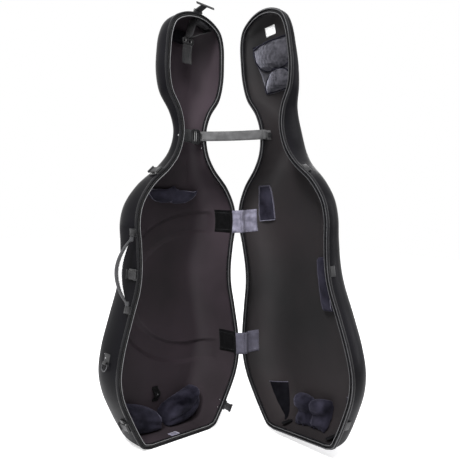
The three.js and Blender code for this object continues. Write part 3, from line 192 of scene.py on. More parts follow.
area_lamp("key_soft_box", place=(-1.75, -1.9, 2.7), aim=(0.05, -0.1, 0.6), size=(1.3, 1.4), power=72,
          mirrored=False)
area_lamp("left_box", place=(-2.2, -0.9, 2.7), aim=(0.2, 0.0, 0.6), size=(0.6, 0.8), power=122,
          mirrored=False)
area_lamp("left_strip", place=(-2.6, 0.9, 1.3), aim=(-0.2, 0.0, 0.65), size=(0.35, 2.0), power=3,
          tint=(0.96, 0.97, 1.0))
area_lamp("right_strip", place=(2.2, -2.1, 1.3), aim=(0.3, -0.2, 0.7), size=(0.7, 2.2), power=18,
          tint=(0.97, 0.97, 1.0))
area_lamp("top_box", place=(0.0, -0.9, 3.0), aim=(0.0, 0.0, 0.7), size=(1.6, 1.2), power=16,
          mirrored=False)
area_lamp("back_box", place=(2.3, 1.4, 2.2), aim=(0.1, 0.0, 0.75), size=(1.6, 1.8), power=40)

# %% [markdown]
# ## The rule behind the shells
# Both shells share one rim outline. It is kept as shares of the width and height, so a
# change of size keeps the shape. A centripetal spline runs through the points without
# loops at tight corners. The back of each shell has its own smaller outline, matched
# point for point with the rim, and a table of depths along the height. Both are drawn
# closed: the base's depth runs to +Y and the lid's to -Y from the shared rim plane.

# %% Sizes and outlines
HEIGHT, HALF_WIDTH = 1.295, 0.250
BASE_DEPTH, LID_DEPTH = 0.152, 0.115
WALL, GAP = 0.0034, 0.0003
RIM_WIDE, RIM_TALL, RIM_LIP = 0.016, 0.009, 0.0017
SEAL_IN, SEAL_WIDE, SEAL_DEEP = 0.0065, 0.005, 0.0042
SHELL_EDGE, WALL_DROP, STEP_DOWN = SEAL_DEEP + 2 * GAP, RIM_LIP + GAP, RIM_TALL + GAP
SECTION_POWER, BACK_INSET_SHARE = 2.5, 0.6
OUTLINE_STEPS, RIM_BOTTOM_STEPS = 10, 40
BASE_SIDE, LID_SIDE = 1, -1

RIM_SHARES = [
    (0.48, 0), (0.6, 0.0069), (0.68, 0.0263), (0.824, 0.0734), (0.96, 0.1274), (1.008, 0.1737),
    (0.98, 0.2278), (0.88, 0.3027), (0.792, 0.3629), (0.772, 0.4054), (0.796, 0.4633),
    (0.828, 0.5112), (0.792, 0.5544), (0.64, 0.6008), (0.384, 0.6456), (0.264, 0.6795),
    (0.216, 0.7259), (0.272, 0.7668), (0.42, 0.8093), (0.476, 0.8533), (0.478, 0.8996),
    (0.455, 0.9436), (0.385, 0.973), (0.21, 0.9931), (0, 1)]
BASE_BACK_SHARES = [
    (0.368, 0.0445), (0.416, 0.0475), (0.448, 0.0566), (0.552, 0.0895), (0.656, 0.1356),
    (0.704, 0.176), (0.688, 0.2236), (0.584, 0.2934), (0.496, 0.3591), (0.456, 0.4056),
    (0.488, 0.4633), (0.536, 0.5058), (0.512, 0.5366), (0.416, 0.5695), (0.224, 0.6181),
    (0.128, 0.6626), (0.064, 0.7223), (0.088, 0.7759), (0.144, 0.8234), (0.168, 0.8588),
    (0.168, 0.8958), (0.144, 0.9266), (0.096, 0.9438), (0.044, 0.9544), (0, 0.9576)]
LID_BACK_SHARES = [
    (0.24, 0.0698), (0.272, 0.0728), (0.296, 0.0799), (0.352, 0.1032), (0.408, 0.139),
    (0.432, 0.1745), (0.416, 0.224), (0.336, 0.2964), (0.248, 0.3611), (0.208, 0.4056),
    (0.2, 0.4633), (0.2, 0.5058), (0.184, 0.5402), (0.144, 0.5806), (0.096, 0.6292),
    (0.064, 0.6703), (0.04, 0.7223), (0.048, 0.7718), (0.072, 0.8184), (0.088, 0.8558),
    (0.088, 0.8942), (0.072, 0.9236), (0.052, 0.9377), (0.024, 0.9468), (0, 0.9499)]
BASE_DEPTH_SHARES = [
    (0, 0.95), (0.19, 1), (0.53, 0.82), (0.61, 0.6), (0.67, 0.42), (0.72, 0.385),
    (0.765, 0.44), (0.82, 0.57), (0.885, 0.62), (1, 0.58)]
LID_DEPTH_SHARES = [
    (0, 0.9), (0.19, 1), (0.4, 0.96), (0.5, 0.88), (0.58, 0.88), (0.67, 0.92),
    (0.715, 0.9), (0.77, 0.75), (0.84, 0.54), (0.92, 0.43), (1, 0.4)]
print("outline points", len(RIM_SHARES))

# %% [markdown]
# A spline in the viewport would give the same line, but the shells, the edging and the
# straps all need its points as numbers, so it is worked out here. Depths use a plainer
# curve through a table, because they are read off at any height.

# %% Splines
def smooth_through(points, steps):
    """Centripetal spline through a list of 2-D points, steps samples to a span."""
    p = np.array(points, float)
    p = np.vstack([2 * p[0] - p[1], p, 2 * p[-1] - p[-2]])
    found = []
    for a, b, c, d in zip(p, p[1:], p[2:], p[3:]):
        t0, t1, t2 = (np.linalg.norm(v - u) ** 0.5 for u, v in ((a, b), (b, c), (c, d)))
        out_of_b = ((b - a) / t0 - (c - a) / (t0 + t1) + (c - b) / t1) * t1
        into_c = ((c - b) / t1 - (d - b) / (t1 + t2) + (d - c) / t2) * t1
        t = np.linspace(0, 1, steps, endpoint=False)[:, None]
        bend = (-3 * b + 3 * c - 2 * out_of_b - into_c, 2 * b - 2 * c + out_of_b + into_c)
        found.append(b + out_of_b * t + bend[0] * t ** 2 + bend[1] * t ** 3)
    return np.vstack(found + [p[-2][None]])


def value_along(table, place):
    """Smooth curve through a table of (place, value) pairs, read at many places."""
    x, y = np.array(table, float).T
    chord = np.diff(y) / np.diff(x)
    slope = np.concatenate([chord[:1], (chord[1:] + chord[:-1]) / 2, chord[-1:]])
    place = np.clip(place, x[0], x[-1])
    i = np.clip(np.searchsorted(x, place, side="right") - 1, 0, len(x) - 2)
    span = x[i + 1] - x[i]
    t = (place - x[i]) / span
    return ((2 * t ** 3 - 3 * t ** 2 + 1) * y[i] + (t ** 3 - 2 * t ** 2 + t) * span * slope[i]
            + (3 * t ** 2 - 2 * t ** 3) * y[i + 1] + (t ** 3 - t ** 2) * span * slope[i + 1])


def closed_outline(shares, bottom_steps):
    """Loop of (x, z): up the right side, over the top, down the left and along the bottom."""
    right = [(x * HALF_WIDTH, z * HEIGHT) for x, z in shares]
    curve = smooth_through(right + [(-x, z) for x, z in right[-2::-1]], OUTLINE_STEPS)
    bottom = np.linspace(curve[-1], curve[0], bottom_steps + 1)[1:-1]
    return np.vstack([curve, bottom])


def inset(outline, distance):
    """Loop moved inwards, square to its own line."""
    way = np.roll(outline, -1, axis=0) - np.roll(outline, 1, axis=0)
    way /= np.linalg.norm(way, axis=1)[:, None]
    return outline + np.column_stack([-way[:, 1], way[:, 0]]) * distance


print("rim loop", closed_outline(RIM_SHARES, RIM_BOTTOM_STEPS).shape)

# %% [markdown]
# ## Colour and finish
# Each finish is a small node tree on one Principled shader. Two noises are usually
# enough: a fine one for the bump that breaks up a highlight, and a broad one that lets
# the colour and gloss drift as they do on a moulded or sewn surface. All of them read
# Object coordinates, so nothing slides when a piece moves.

# %% Finish helper
NOISE_RANGE, GLOSS_DRIFT = (0.3, 0.7), 2.3


def drifting(nodes, links, coords, scale, low, high, detail=3.0):
    """A noise turned into a number between low and high."""
    noise = nodes.new("ShaderNodeTexNoise")
    noise.inputs["Scale"].default_value = scale
    noise.inputs["Detail"].default_value = detail
    links.new(coords, noise.inputs["Vector"])
    span = nodes.new("ShaderNodeMapRange")
    span.inputs["From Min"].default_value, span.inputs["From Max"].default_value = NOISE_RANGE
    span.inputs["To Min"].default_value = low
    span.inputs["To Max"].default_value = high
    links.new(noise.outputs["Fac"], span.inputs["Value"])
    return span.outputs["Result"]


def finish(name, dark, light, rough, broad=9.0, grain=900.0, bump=0.05, bump_depth=0.0004, **sockets):
    """Principled finish whose colour and roughness drift and whose grain stands up."""
    material = bpy.data.materials.new(name)
    nodes, links = node_tree(material)
    shader, out = nodes.new("ShaderNodeBsdfPrincipled"), nodes.new("ShaderNodeOutputMaterial")
    coords = nodes.new("ShaderNodeTexCoord").outputs["Object"]
    tone = nodes.new("ShaderNodeMix")
    tone.data_type = "RGBA"
    tone.inputs["A"].default_value = (*dark, 1)
    tone.inputs["B"].default_value = (*light, 1)
    links.new(drifting(nodes, links, coords, broad, 0.0, 1.0), tone.inputs["Factor"])
    links.new(tone.outputs["Result"], shader.inputs["Base Color"])
    links.new(drifting(nodes, links, coords, broad * GLOSS_DRIFT, *rough), shader.inputs["Roughness"])
    raised = nodes.new("ShaderNodeBump")
    raised.inputs["Strength"].default_value = bump
    raised.inputs["Distance"].default_value = bump_depth
    links.new(drifting(nodes, links, coords, grain, 0.0, 1.0, 2.0), raised.inputs["Height"])
    links.new(raised.outputs["Normal"], shader.inputs["Normal"])
    for socket, value in sockets.items():
        shader.inputs[socket.replace("_", " ")].default_value = value
    links.new(shader.outputs[0], out.inputs["Surface"])
    return material


print("noise is read from", NOISE_RANGE)

# %% [markdown]
# The shells are moulded black plastic, satin outside and duller inside, where the base
# has a faint warm violet cast. Castings, steel and rubber differ in gloss more than in
# colour, so each gets its own range of roughness. The crests of the edging, a real strip
# of the extrusion, get a paler grey of their own: a painted highlight along the rim.

# %% Hard finishes
shell_satin = finish("shell_satin_black", (0.003, 0.0029, 0.0036), (0.0058, 0.0054, 0.0072),
                     (0.28, 0.38), broad=5, grain=1500, bump=0.12, bump_depth=0.0002,
                     Specular_IOR_Level=0.045)
base_gloss = finish("base_inside_satin", (0.021, 0.0178, 0.0196), (0.042, 0.0318, 0.0386),
                    (0.5, 0.62), broad=3.2, grain=700, bump=0.1, bump_depth=0.0002,
                    Specular_IOR_Level=0.16)
lid_matte = finish("lid_inside_matte", (0.0135, 0.0134, 0.0138), (0.024, 0.0202, 0.0213),
                   (0.5, 0.62), broad=3.5, grain=1100, bump=0.3, bump_depth=0.0003,
                   Specular_IOR_Level=0.25)
rim_black = finish("rim_edging_black", (0.006, 0.006, 0.0068), (0.011, 0.011, 0.012),
                   (0.24, 0.36), broad=14, grain=1300, bump=0.08, bump_depth=0.0002,
                   Specular_IOR_Level=0.12)
# Painted highlights: the crests of the edging are paler grey so that they show as thin bright lines.
rim_ridge_highlight = finish("rim_crest_worn", (0.1, 0.1, 0.103), (0.19, 0.19, 0.194),
                   (0.25, 0.35), broad=9, grain=1300, bump=0.08, bump_depth=0.0001)
lid_ridge_highlight = finish("lid_crest_worn", (0.035, 0.035, 0.037), (0.075, 0.075, 0.078),
                   (0.25, 0.35), broad=9, grain=1300, bump=0.08, bump_depth=0.0001)
seal_rubber = finish("seal_rubber", (0.006, 0.006, 0.006), (0.012, 0.012, 0.012),
                     (0.7, 0.85), broad=30, grain=900, bump=0.3)
latch_black = finish("latch_black", (0.015, 0.015, 0.0157), (0.034, 0.034, 0.0352),
                     (0.26, 0.38), broad=40, grain=2500, bump=0.15, bump_depth=0.0002, Metallic=0.3)
bright_steel = finish("bright_steel", (0.5, 0.5, 0.5), (0.68, 0.68, 0.68),
                      (0.18, 0.3), broad=60, grain=3000, bump=0.1, bump_depth=0.0001, Metallic=1.0)
# The handle's strip is pale half-metal; its brightness is a painted highlight along the grip.
polished_core = finish("polished_core", (0.8, 0.8, 0.8), (0.9, 0.9, 0.9),
                       (0.2, 0.3), broad=60, grain=3000, bump=0.1, bump_depth=0.0001, Metallic=0.6)
dark_steel = finish("dark_steel", (0.1, 0.1, 0.105), (0.2, 0.2, 0.205),
                    (0.22, 0.34), broad=60, grain=3000, bump=0.1, bump_depth=0.0001, Metallic=1.0)
grip_rubber = finish("grip_rubber", (0.024, 0.024, 0.026), (0.042, 0.042, 0.044),
                     (0.34, 0.46), broad=30, grain=1800, bump=0.35, bump_depth=0.0003)
# The label glows faintly: painted light that keeps it white in the shade of the lid's head.
label_paper_painted_glow = finish("bare_label", (0.93, 0.93, 0.92), (0.96, 0.96, 0.95),
                     (0.5, 0.6), broad=60, grain=2500, bump=0.1,
                     Emission_Color=(1, 1, 1, 1), Emission_Strength=0.1)
print("hard finishes", len(bpy.data.materials))

# %% [markdown]
# Velvet is dark when looked at straight on and pale at its edges, because its pile
# scatters light sideways. The sheen of the shader does that. Crushed pile shows as
# soft blotches a few centimetres across, so the broad noise is given more contrast.

# %% Velvets
def velvet(name, dark, light, tint, sheen=0.4, broad=45):
    return finish(name, dark, light, (0.75, 0.95), broad=broad, grain=1500, bump=0.22,
                  bump_depth=0.0006, Sheen_Weight=sheen, Sheen_Roughness=0.42,
                  Sheen_Tint=(*tint, 1), Specular_IOR_Level=0.12)


navy_velvet = velvet("navy_velvet", (0.0016, 0.0015, 0.003), (0.026, 0.0245, 0.037),
                     (0.72, 0.7, 0.95), sheen=0.14, broad=21)
black_velvet = velvet("black_velvet", (0.0022, 0.0022, 0.003), (0.005, 0.0048, 0.0065),
                      (0.6, 0.6, 0.8), sheen=0.08)
pouch_velvet = velvet("pouch_velvet", (0.018, 0.0177, 0.021), (0.062, 0.0605, 0.07),
                      (0.85, 0.85, 1.0), sheen=0.5, broad=70)
backing_velvet = velvet("backing_velvet", (0.03, 0.0296, 0.0335), (0.056, 0.055, 0.061),
                        (0.85, 0.85, 1.0))
pale_velvet = velvet("lavender_velvet", (0.1, 0.096, 0.127), (0.22, 0.212, 0.272),
                     (0.9, 0.88, 1.0), broad=60)
dusk_velvet = velvet("dusk_lavender_velvet", (0.052, 0.05, 0.065), (0.092, 0.089, 0.115),
                     (0.85, 0.83, 1.0))
dark_piping = velvet("dark_piping", (0.003, 0.003, 0.005), (0.007, 0.0068, 0.011),
                     (0.5, 0.5, 0.7), sheen=0.2)
light_piping = velvet("light_piping", (0.1, 0.098, 0.125), (0.17, 0.166, 0.205), (0.8, 0.8, 0.95))
print("velvets and piping", len(bpy.data.materials))

# %% [markdown]
# Webbing is woven: two crossed waves on the strip's own UV map, which is in metres,
# give the ribs, so they follow the strap wherever it goes. Noise on Object coordinates
# would run straight through a bend. A wave texture of scale one has 20 / pi half waves
# to a metre, and a rib or a thread is one half wave.

# %% Webbing
RIB_WIDE, THREAD_WIDE, HALF_WAVES = 0.0016, 0.0011, 20 / math.pi


def webbing_finish(name, dark, light, sheen):
    material = finish(name, dark, light, (0.6, 0.8), broad=50, grain=2500, bump=0.1,
                      Sheen_Weight=sheen, Sheen_Roughness=0.5, Specular_IOR_Level=0.2)
    nodes, links = material.node_tree.nodes, material.node_tree.links
    uv = nodes.new("ShaderNodeUVMap")
    uv.uv_map = "UVMap"
    ribs, threads = nodes.new("ShaderNodeTexWave"), nodes.new("ShaderNodeTexWave")
    for wave, way, wide in ((ribs, "X", RIB_WIDE), (threads, "Y", THREAD_WIDE)):
        wave.bands_direction = way
        wave.inputs["Scale"].default_value = 1 / wide / HALF_WAVES
        wave.inputs["Distortion"].default_value = 0.3
        links.new(uv.outputs["UV"], wave.inputs["Vector"])
    woven = nodes.new("ShaderNodeMath")
    woven.operation = "MULTIPLY"
    links.new(ribs.outputs["Fac"], woven.inputs[0])
    links.new(threads.outputs["Fac"], woven.inputs[1])
    bump = nodes.new("ShaderNodeBump")
    bump.inputs["Strength"].default_value = 0.7
    bump.inputs["Distance"].default_value = 0.0006
    links.new(woven.outputs[0], bump.inputs["Height"])
    under = next(n for n in nodes if n.type == "BUMP" and n != bump)
    shader = next(n for n in nodes if n.type == "BSDF_PRINCIPLED")
    links.new(under.outputs["Normal"], bump.inputs["Normal"])
    links.new(bump.outputs["Normal"], shader.inputs["Normal"])
    return material


black_web = webbing_finish("black_webbing", (0.0016, 0.0016, 0.0018), (0.0034, 0.0034, 0.0038), 0.01)
grey_web = webbing_finish("grey_webbing", (0.06, 0.06, 0.0612), (0.1, 0.1, 0.1015), 0.1)
dark_web = webbing_finish("dark_grey_webbing", (0.011, 0.011, 0.012), (0.022, 0.022, 0.023), 0.12)
thread_grey = webbing_finish("grey_thread", (0.03, 0.03, 0.032), (0.055, 0.055, 0.058), 0.1)
print("finishes", len(bpy.data.materials))

# %% [markdown]
# ## Making a piece
# A piece is made from points and faces, already in its place, and then told which body
# carries it. The lid is drawn closed on the base and swung open about the hinge line,
# the way the real one opens, so one helper turns closed points into open ones.

# %% Piece helpers
hinge = next(j for j in frame["joints"] if j["name"] == "lid_hinge")
hinge_place, hinge_way = Vector(hinge["pos_m"]), Vector(hinge["axis"]).normalized()
OPEN_ANGLE = math.radians(-hinge["range_deg"][0])
swing = (Matrix.Translation(hinge_place) @ Matrix.Rotation(OPEN_ANGLE, 4, hinge_way)
         @ Matrix.Translation(-hinge_place))
swing_array = np.array(swing)


def opened(points):
    """Closed places swung open with the lid."""
    points = np.asarray(points, float)
    return points @ swing_array[:3, :3].T + swing_array[:3, 3]


def closed_again(points):
    """Open places swung back to where they are when the case is shut."""
    return (np.asarray(points, float) - swing_array[:3, 3]) @ swing_array[:3, :3]


def make_piece(name, points, faces, material, sharp=None):
    """Smooth-shaded piece at the origin; sharp is the angle in degrees past which an edge stays hard."""
    mesh = bpy.data.meshes.new(name)
    mesh.from_pydata([tuple(map(float, p)) for p in points], [], [tuple(map(int, f)) for f in faces])
    mesh.materials.append(material)
    mesh.polygons.foreach_set("use_smooth", [True] * len(mesh.polygons))
    if sharp:
        mesh.set_sharp_from_angle(angle=math.radians(sharp))
    piece = bpy.data.objects.new(name, mesh)
    bpy.context.scene.collection.objects.link(piece)
    return piece


print("the lid opens", round(math.degrees(OPEN_ANGLE), 1), "degrees")

# %% [markdown]
# Some steps come back on nearly every piece: merging doubled points, running the
# modifiers, taking over a CAD solid and giving it a finish. Modifiers are run at once,
# because later steps move the points that they make.

# %% Cleaning, copying and coating
MERGE_APART = 1e-6


def turned_outwards(piece, merge=MERGE_APART):
    """Merges doubled points, then turns the faces outwards."""
    work = bmesh.new()
    work.from_mesh(piece.data)
    bmesh.ops.remove_doubles(work, verts=work.verts, dist=merge)
    bmesh.ops.recalc_face_normals(work, faces=work.faces)
    work.to_mesh(piece.data)
    work.free()
    return piece


def applied(piece):
    """Turns a piece and its live modifiers into a plain mesh."""
    bpy.context.view_layer.update()
    seen = piece.evaluated_get(bpy.context.evaluated_depsgraph_get())
    mesh = bpy.data.meshes.new_from_object(seen)
    piece.modifiers.clear()
    old, piece.data = piece.data, mesh
    bpy.data.meshes.remove(old)
    return piece


def copied(name, node):
    """A copy of a CAD node's mesh, free of modifiers."""
    piece = bpy.data.objects.new(name, frame["nodes"][node].data.copy())
    bpy.context.scene.collection.objects.link(piece)
    return piece


def coated(piece, material):
    piece.data.materials.clear()
    piece.data.materials.append(material)
    piece.data.polygons.foreach_set("use_smooth", [True] * len(piece.data.polygons))
    return piece


def smoothed(piece, levels):
    softer = piece.modifiers.new("softer", "SUBSURF")
    softer.levels = softer.render_levels = levels
    applied(piece)
    piece.data.polygons.foreach_set("use_smooth", [True] * len(piece.data.polygons))
    return piece


print("points closer than", MERGE_APART, "m are merged")

# %% [markdown]
# Points are moved as one array, which is quicker and plainer than a loop over them.

# %% Points and settling
def mesh_points(piece):
    """All the points of a piece as an array."""
    found = np.zeros(len(piece.data.vertices) * 3, np.float32)
    piece.data.vertices.foreach_get("co", found)
    return found.reshape(-1, 3).astype(float)


def put_points(piece, points):
    piece.data.vertices.foreach_set("co", points.astype(np.float32).ravel())
    piece.data.update()


def settle(piece, body, slot, *stands_for):
    """Names the body that carries a piece and the CAD nodes it replaces; slot is not used."""
    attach(piece, body)
    if stands_for:
        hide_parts(*stands_for)
    return piece


# %% [markdown]
# ## The moulded shells
# Each shell is pressed from one sheet: straight inside the rim, then rounding over like
# a superellipse to a nearly flat back. It could be sculpted or subdivided from a cage,
# but the rule is known, so rings of points are computed from rim to back, and rows of
# points close the flat. The base has a wide round channel pressed into its back; it is
# extra depth between two ellipses, which rises over a few millimetres at each edge.

# %% The channel's depth
RELIEF_CENTRE = (0.66 * HALF_WIDTH, 0.3413 * HEIGHT)
RELIEF_RADII, RELIEF_BAND, RELIEF_DEEP, RELIEF_START = (0.328, 0.257), 0.069, 0.01, 0.6
RELIEF_INNER = [radius - RELIEF_BAND for radius in RELIEF_RADII]
RELIEF_EDGE, RELIEF_RISE = (-0.003, 0.01), (-0.004, 0.008)


def soft_step(value, low, high):
    t = np.clip((value - low) / (high - low), 0, 1)
    return t * t * (3 - 2 * t)


def ramp(value, low, high):
    return np.clip((value - low) / (high - low), 0, 1)


def outside_share(x, z, radii):
    """How far outside an ellipse about the channel's centre a point lies, as a share."""
    return np.hypot((x - RELIEF_CENTRE[0]) / radii[0], (z - RELIEF_CENTRE[1]) / radii[1]) - 1


def beyond(x, z, radii):
    return outside_share(x, z, radii) * (radii[0] + radii[1]) / 2


def relief(x, z, deep):
    """Extra depth of the round channel."""
    band = ramp(-beyond(x, z, RELIEF_RADII), *RELIEF_EDGE) * ramp(beyond(x, z, RELIEF_INNER), *RELIEF_EDGE)
    start = BASE_DEPTH * RELIEF_START
    return RELIEF_DEEP * band * soft_step(deep, start + RELIEF_RISE[0], start + RELIEF_RISE[1])


def pressed(points):
    """Points with the channel's extra depth."""
    points[:, 1] += relief(points[:, 0], points[:, 2], points[:, 1])
    return points


print("channel band", RELIEF_BAND, "m wide")

# %% [markdown]
# One face of a shell is built ring by ring from the rim to the edge of its flat back.
# The flat is closed with rows from the right side of the last ring to its left side, so
# the cells stay nearly square. Filling it with one large face would leave it rigid and
# hard to press the channel into.

# %% One face of a shell
def shell_face(back_shares, depth_shares, depth, inward, rings, columns):
    """Points and faces of one face of a shell, with its open edge at the rim."""
    rim = inset(closed_outline(RIM_SHARES, columns), WALL_DROP + inward)
    back = inset(closed_outline(back_shares, columns), inward * BACK_INSET_SHARE)
    count, curve = len(rim), (len(RIM_SHARES) * 2 - 2) * OUTLINE_STEPS + 1

    def full(z):
        return depth * value_along(depth_shares, z / HEIGHT) - inward
    level = np.full(count, SHELL_EDGE - (WALL if inward else 0))
    loops = [np.column_stack([rim[:, 0], level, rim[:, 1]])]
    for angle in np.linspace(0, math.pi / 2, rings + 1):
        sideways = 1 - math.cos(angle) ** (2 / SECTION_POWER)
        deeper = math.sin(angle) ** (2 / SECTION_POWER)
        xz = rim + (back - rim) * sideways
        y = STEP_DOWN + (full(back[:, 1]) - STEP_DOWN) * deeper
        loops.append(np.column_stack([xz[:, 0], y, xz[:, 1]]))
    points = np.vstack(loops)
    faces = []
    ring = np.arange(count)
    for r in range(len(loops) - 1):
        a, b = ring + r * count, np.roll(ring, -1) + r * count
        faces += np.column_stack([a, b, b + count, a + count]).tolist()
    last = (len(loops) - 1) * count
    rows = [[last] + [last + count - k for k in range(1, columns)] + [last + curve - 1]]
    extra, total = [], len(points)
    middle = (curve - 1) // 2
    for i in range(1, middle):
        right, left = back[i], back[curve - 1 - i]
        share = np.linspace(0, 1, columns + 1)[1:-1, None]
        xz = right + (left - right) * share
        extra.append(np.column_stack([xz[:, 0], full(xz[:, 1]), xz[:, 1]]))
        rows.append([last + i, *range(total, total + columns - 1), last + curve - 1 - i])
        total += columns - 1
    for low, high in zip(rows, rows[1:]):
        faces += [(low[k], low[k + 1], high[k + 1], high[k]) for k in range(columns)]
    faces += [(rows[-1][k], rows[-1][k + 1], last + middle) for k in range(columns)]
    return np.vstack([points] + extra), faces, count


print("a shell's section follows the power", SECTION_POWER)

# %% [markdown]
# The rings are too wide apart to hold the channel's steep edges. A finer shell all over
# would be heavy, so only the cells of the inner face near those edges are cut again
# before the channel is pressed in.

# %% Pressing the channel
STEP_REACH, STEP_CUTS, START_MARGIN = 0.016, 2, 0.01


def near_step(x, z):
    """True close to the edges of the channel, where the mesh has to be finer."""
    nearest = min(abs(outside_share(x, z, radii)) for radii in (RELIEF_RADII, RELIEF_INNER))
    return nearest * sum(RELIEF_RADII) / 2 < STEP_REACH


def press_channel(piece):
    """Cuts the inner face finer along the channel's edges and presses the channel in."""
    work = bmesh.new()
    work.from_mesh(piece.data)
    start = BASE_DEPTH * RELIEF_START - START_MARGIN
    fine = []
    for face in work.faces:
        middle = face.calc_center_median()
        if face.material_index == 1 and middle.y > start and near_step(middle.x, middle.z):
            fine.append(face)
    edges = {e for f in fine for e in f.edges}
    bmesh.ops.subdivide_edges(work, edges=list(edges), cuts=STEP_CUTS, use_grid_fill=True)
    work.to_mesh(piece.data)
    work.free()
    put_points(piece, pressed(mesh_points(piece)))


print("cells within", STEP_REACH, "m of an edge are cut", STEP_CUTS, "times")

# %% [markdown]
# One mesh holds both faces of the wall, each with its own finish, joined by a strip at
# the rim. Solidify could give the second face, but its offset would crowd the tight
# corners; a second face from the same rule keeps the wall even.

# %% Two-faced shells
def shell_piece(name, shape, side, rings, columns, inside, place, has_channel=False):
    """A shell with both its faces, and a search tree of the inner one in its closed place."""
    outer, outer_faces, count = shell_face(*shape, 0.0, rings=rings, columns=columns)
    inner, inner_faces, _ = shell_face(*shape, WALL, rings=rings, columns=columns)
    points = np.vstack([outer, inner]) * [1, side, 1]
    shift = len(outer)
    faces = outer_faces + [tuple(v + shift for v in f) for f in inner_faces]
    faces += [(i, (i + 1) % count, (i + 1) % count + shift, i + shift) for i in range(count)]
    piece = make_piece(name, place(points), faces, shell_satin)
    piece.data.materials.append(inside)
    within = [i >= len(outer_faces) for i in range(len(faces))]
    piece.data.polygons.foreach_set("material_index", [int(w) for w in within])
    if has_channel:
        press_channel(piece)
        inner = pressed(inner)
    turned_outwards(piece)
    wall = BVHTree.FromPolygons([tuple(p) for p in inner * [1, side, 1]], inner_faces)
    return piece, wall


def as_is(points):
    return points


base_shape = (BASE_BACK_SHARES, BASE_DEPTH_SHARES, BASE_DEPTH)
lid_shape = (LID_BACK_SHARES, LID_DEPTH_SHARES, LID_DEPTH)
base_piece, base_wall = shell_piece("base_moulded_shell", base_shape, BASE_SIDE, rings=30, columns=56,
                                    inside=base_gloss, place=as_is, has_channel=True)
lid_piece, lid_wall = shell_piece("lid_moulded_shell", lid_shape, LID_SIDE, rings=26, columns=28,
                                  inside=lid_matte, place=opened)
settle(base_piece, "base", "shell", "base_shell")
settle(lid_piece, "lid", "shell", "lid_shell")
print("shell faces", len(base_piece.data.polygons), len(lid_piece.data.polygons))

# %% [markdown]
# ## Rim edging and seal
# A rubbery extrusion is pushed onto the edge of each shell: two round ridges with a
# groove between them, and a soft seal in the base's groove. The crests of the ridges
# are a paler grey, a painted highlight that shows as a thin line. An extrusion is one profile
# carried along one path, which is just what Curve to Mesh does, so a small Geometry
# Nodes tree sweeps it. The path lies flat while it is swept, so that the profile keeps
# upright, and is then tipped into the rim plane.

# %% A tree that sweeps a profile
def add_socket(tree, name, kind, default=None, way="INPUT"):
    socket = tree.interface.new_socket(name, in_out=way, socket_type=kind)
    if default is not None:
        socket.default_value = default
    return socket.identifier


def sweep_tree():
    tree = bpy.data.node_groups.new("sweep_profile", "GeometryNodeTree")
    ids = {"path": add_socket(tree, "Path", "NodeSocketGeometry"),
           "profile": add_socket(tree, "Profile", "NodeSocketObject"),
           "finish": add_socket(tree, "Finish", "NodeSocketMaterial")}
    add_socket(tree, "Swept", "NodeSocketGeometry", way="OUTPUT")
    n, link = tree.nodes, tree.links.new
    start, end = n.new("NodeGroupInput"), n.new("NodeGroupOutput")
    route, profile = n.new("GeometryNodeMeshToCurve"), n.new("GeometryNodeMeshToCurve")
    section, upright = n.new("GeometryNodeObjectInfo"), n.new("GeometryNodeSetCurveNormal")
    upright.mode = "Z_UP"
    sweep, real = n.new("GeometryNodeCurveToMesh"), n.new("GeometryNodeRealizeInstances")
    coat = n.new("GeometryNodeSetMaterial")
    link(start.outputs["Path"], route.inputs[0])
    link(route.outputs[0], upright.inputs["Curve"])
    link(start.outputs["Profile"], section.inputs["Object"])
    link(section.outputs["Geometry"], profile.inputs[0])
    link(upright.outputs[0], sweep.inputs["Curve"])
    link(profile.outputs[0], sweep.inputs["Profile Curve"])
    link(sweep.outputs[0], real.inputs[0])
    link(real.outputs[0], coat.inputs["Geometry"])
    link(start.outputs["Finish"], coat.inputs["Material"])
    link(coat.outputs[0], end.inputs[0])
    return tree, ids


swept, sweep_ids = sweep_tree()
print("sweep inputs", sorted(sweep_ids))

# %% [markdown]
# A tree needs something to work on: bare points, or a line of edges. It is run like any
# modifier, and its inputs are set by the names that the tree gave them.

# %% Growing a tree on a line
def bare(name, points, edges=()):
    """Bare points and edges, for a tree to work on."""
    mesh = bpy.data.meshes.new(name)
    mesh.from_pydata([tuple(map(float, p)) for p in points], edges, [])
    line = bpy.data.objects.new(name, mesh)
    bpy.context.scene.collection.objects.link(line)
    return line


def wire(name, points, closed=False):
    """A line of edges, the path that a tree follows."""
    edges = [(i, i + 1) for i in range(len(points) - 1)]
    edges += [(len(points) - 1, 0)] if closed else []
    return bare(name, points, edges)


def grown(line, tree, settings):
    """Runs a tree on a line and keeps the plain mesh."""
    modifier = line.modifiers.new(tree.name, "NODES")
    modifier.node_group = tree
    for identifier, value in settings.items():
        modifier[identifier] = value
    applied(line)
    line.data.polygons.foreach_set("use_smooth", [True] * len(line.data.polygons))
    return line


print("trees so far", [tree.name for tree in bpy.data.node_groups])

# %% [markdown]
# The section is drawn once, inwards from the rim line and deep from the rim plane. A
# ridge's crest gets a paler grey as a painted highlight: on the base the inner one, on the lid
# both. Those faces are picked by their place in the section and get that paler finish.

# %% The extruded edging
RIDGE_STEPS, HARD_EDGE = 6, math.radians(50)
OUTER_CREST, INNER_CREST = (2, 3), (11, 12)


def ridge(near, far, top, foot):
    """Half-round top of a ridge, in (inward, deep)."""
    middle, half = (near + far) / 2, (far - near) / 2
    tall = min(half, (foot - top) * 0.8)
    turns = np.linspace(0, math.pi, RIDGE_STEPS + 1)
    return [(middle - half * math.cos(a), top + tall * (1 - math.sin(a))) for a in turns]


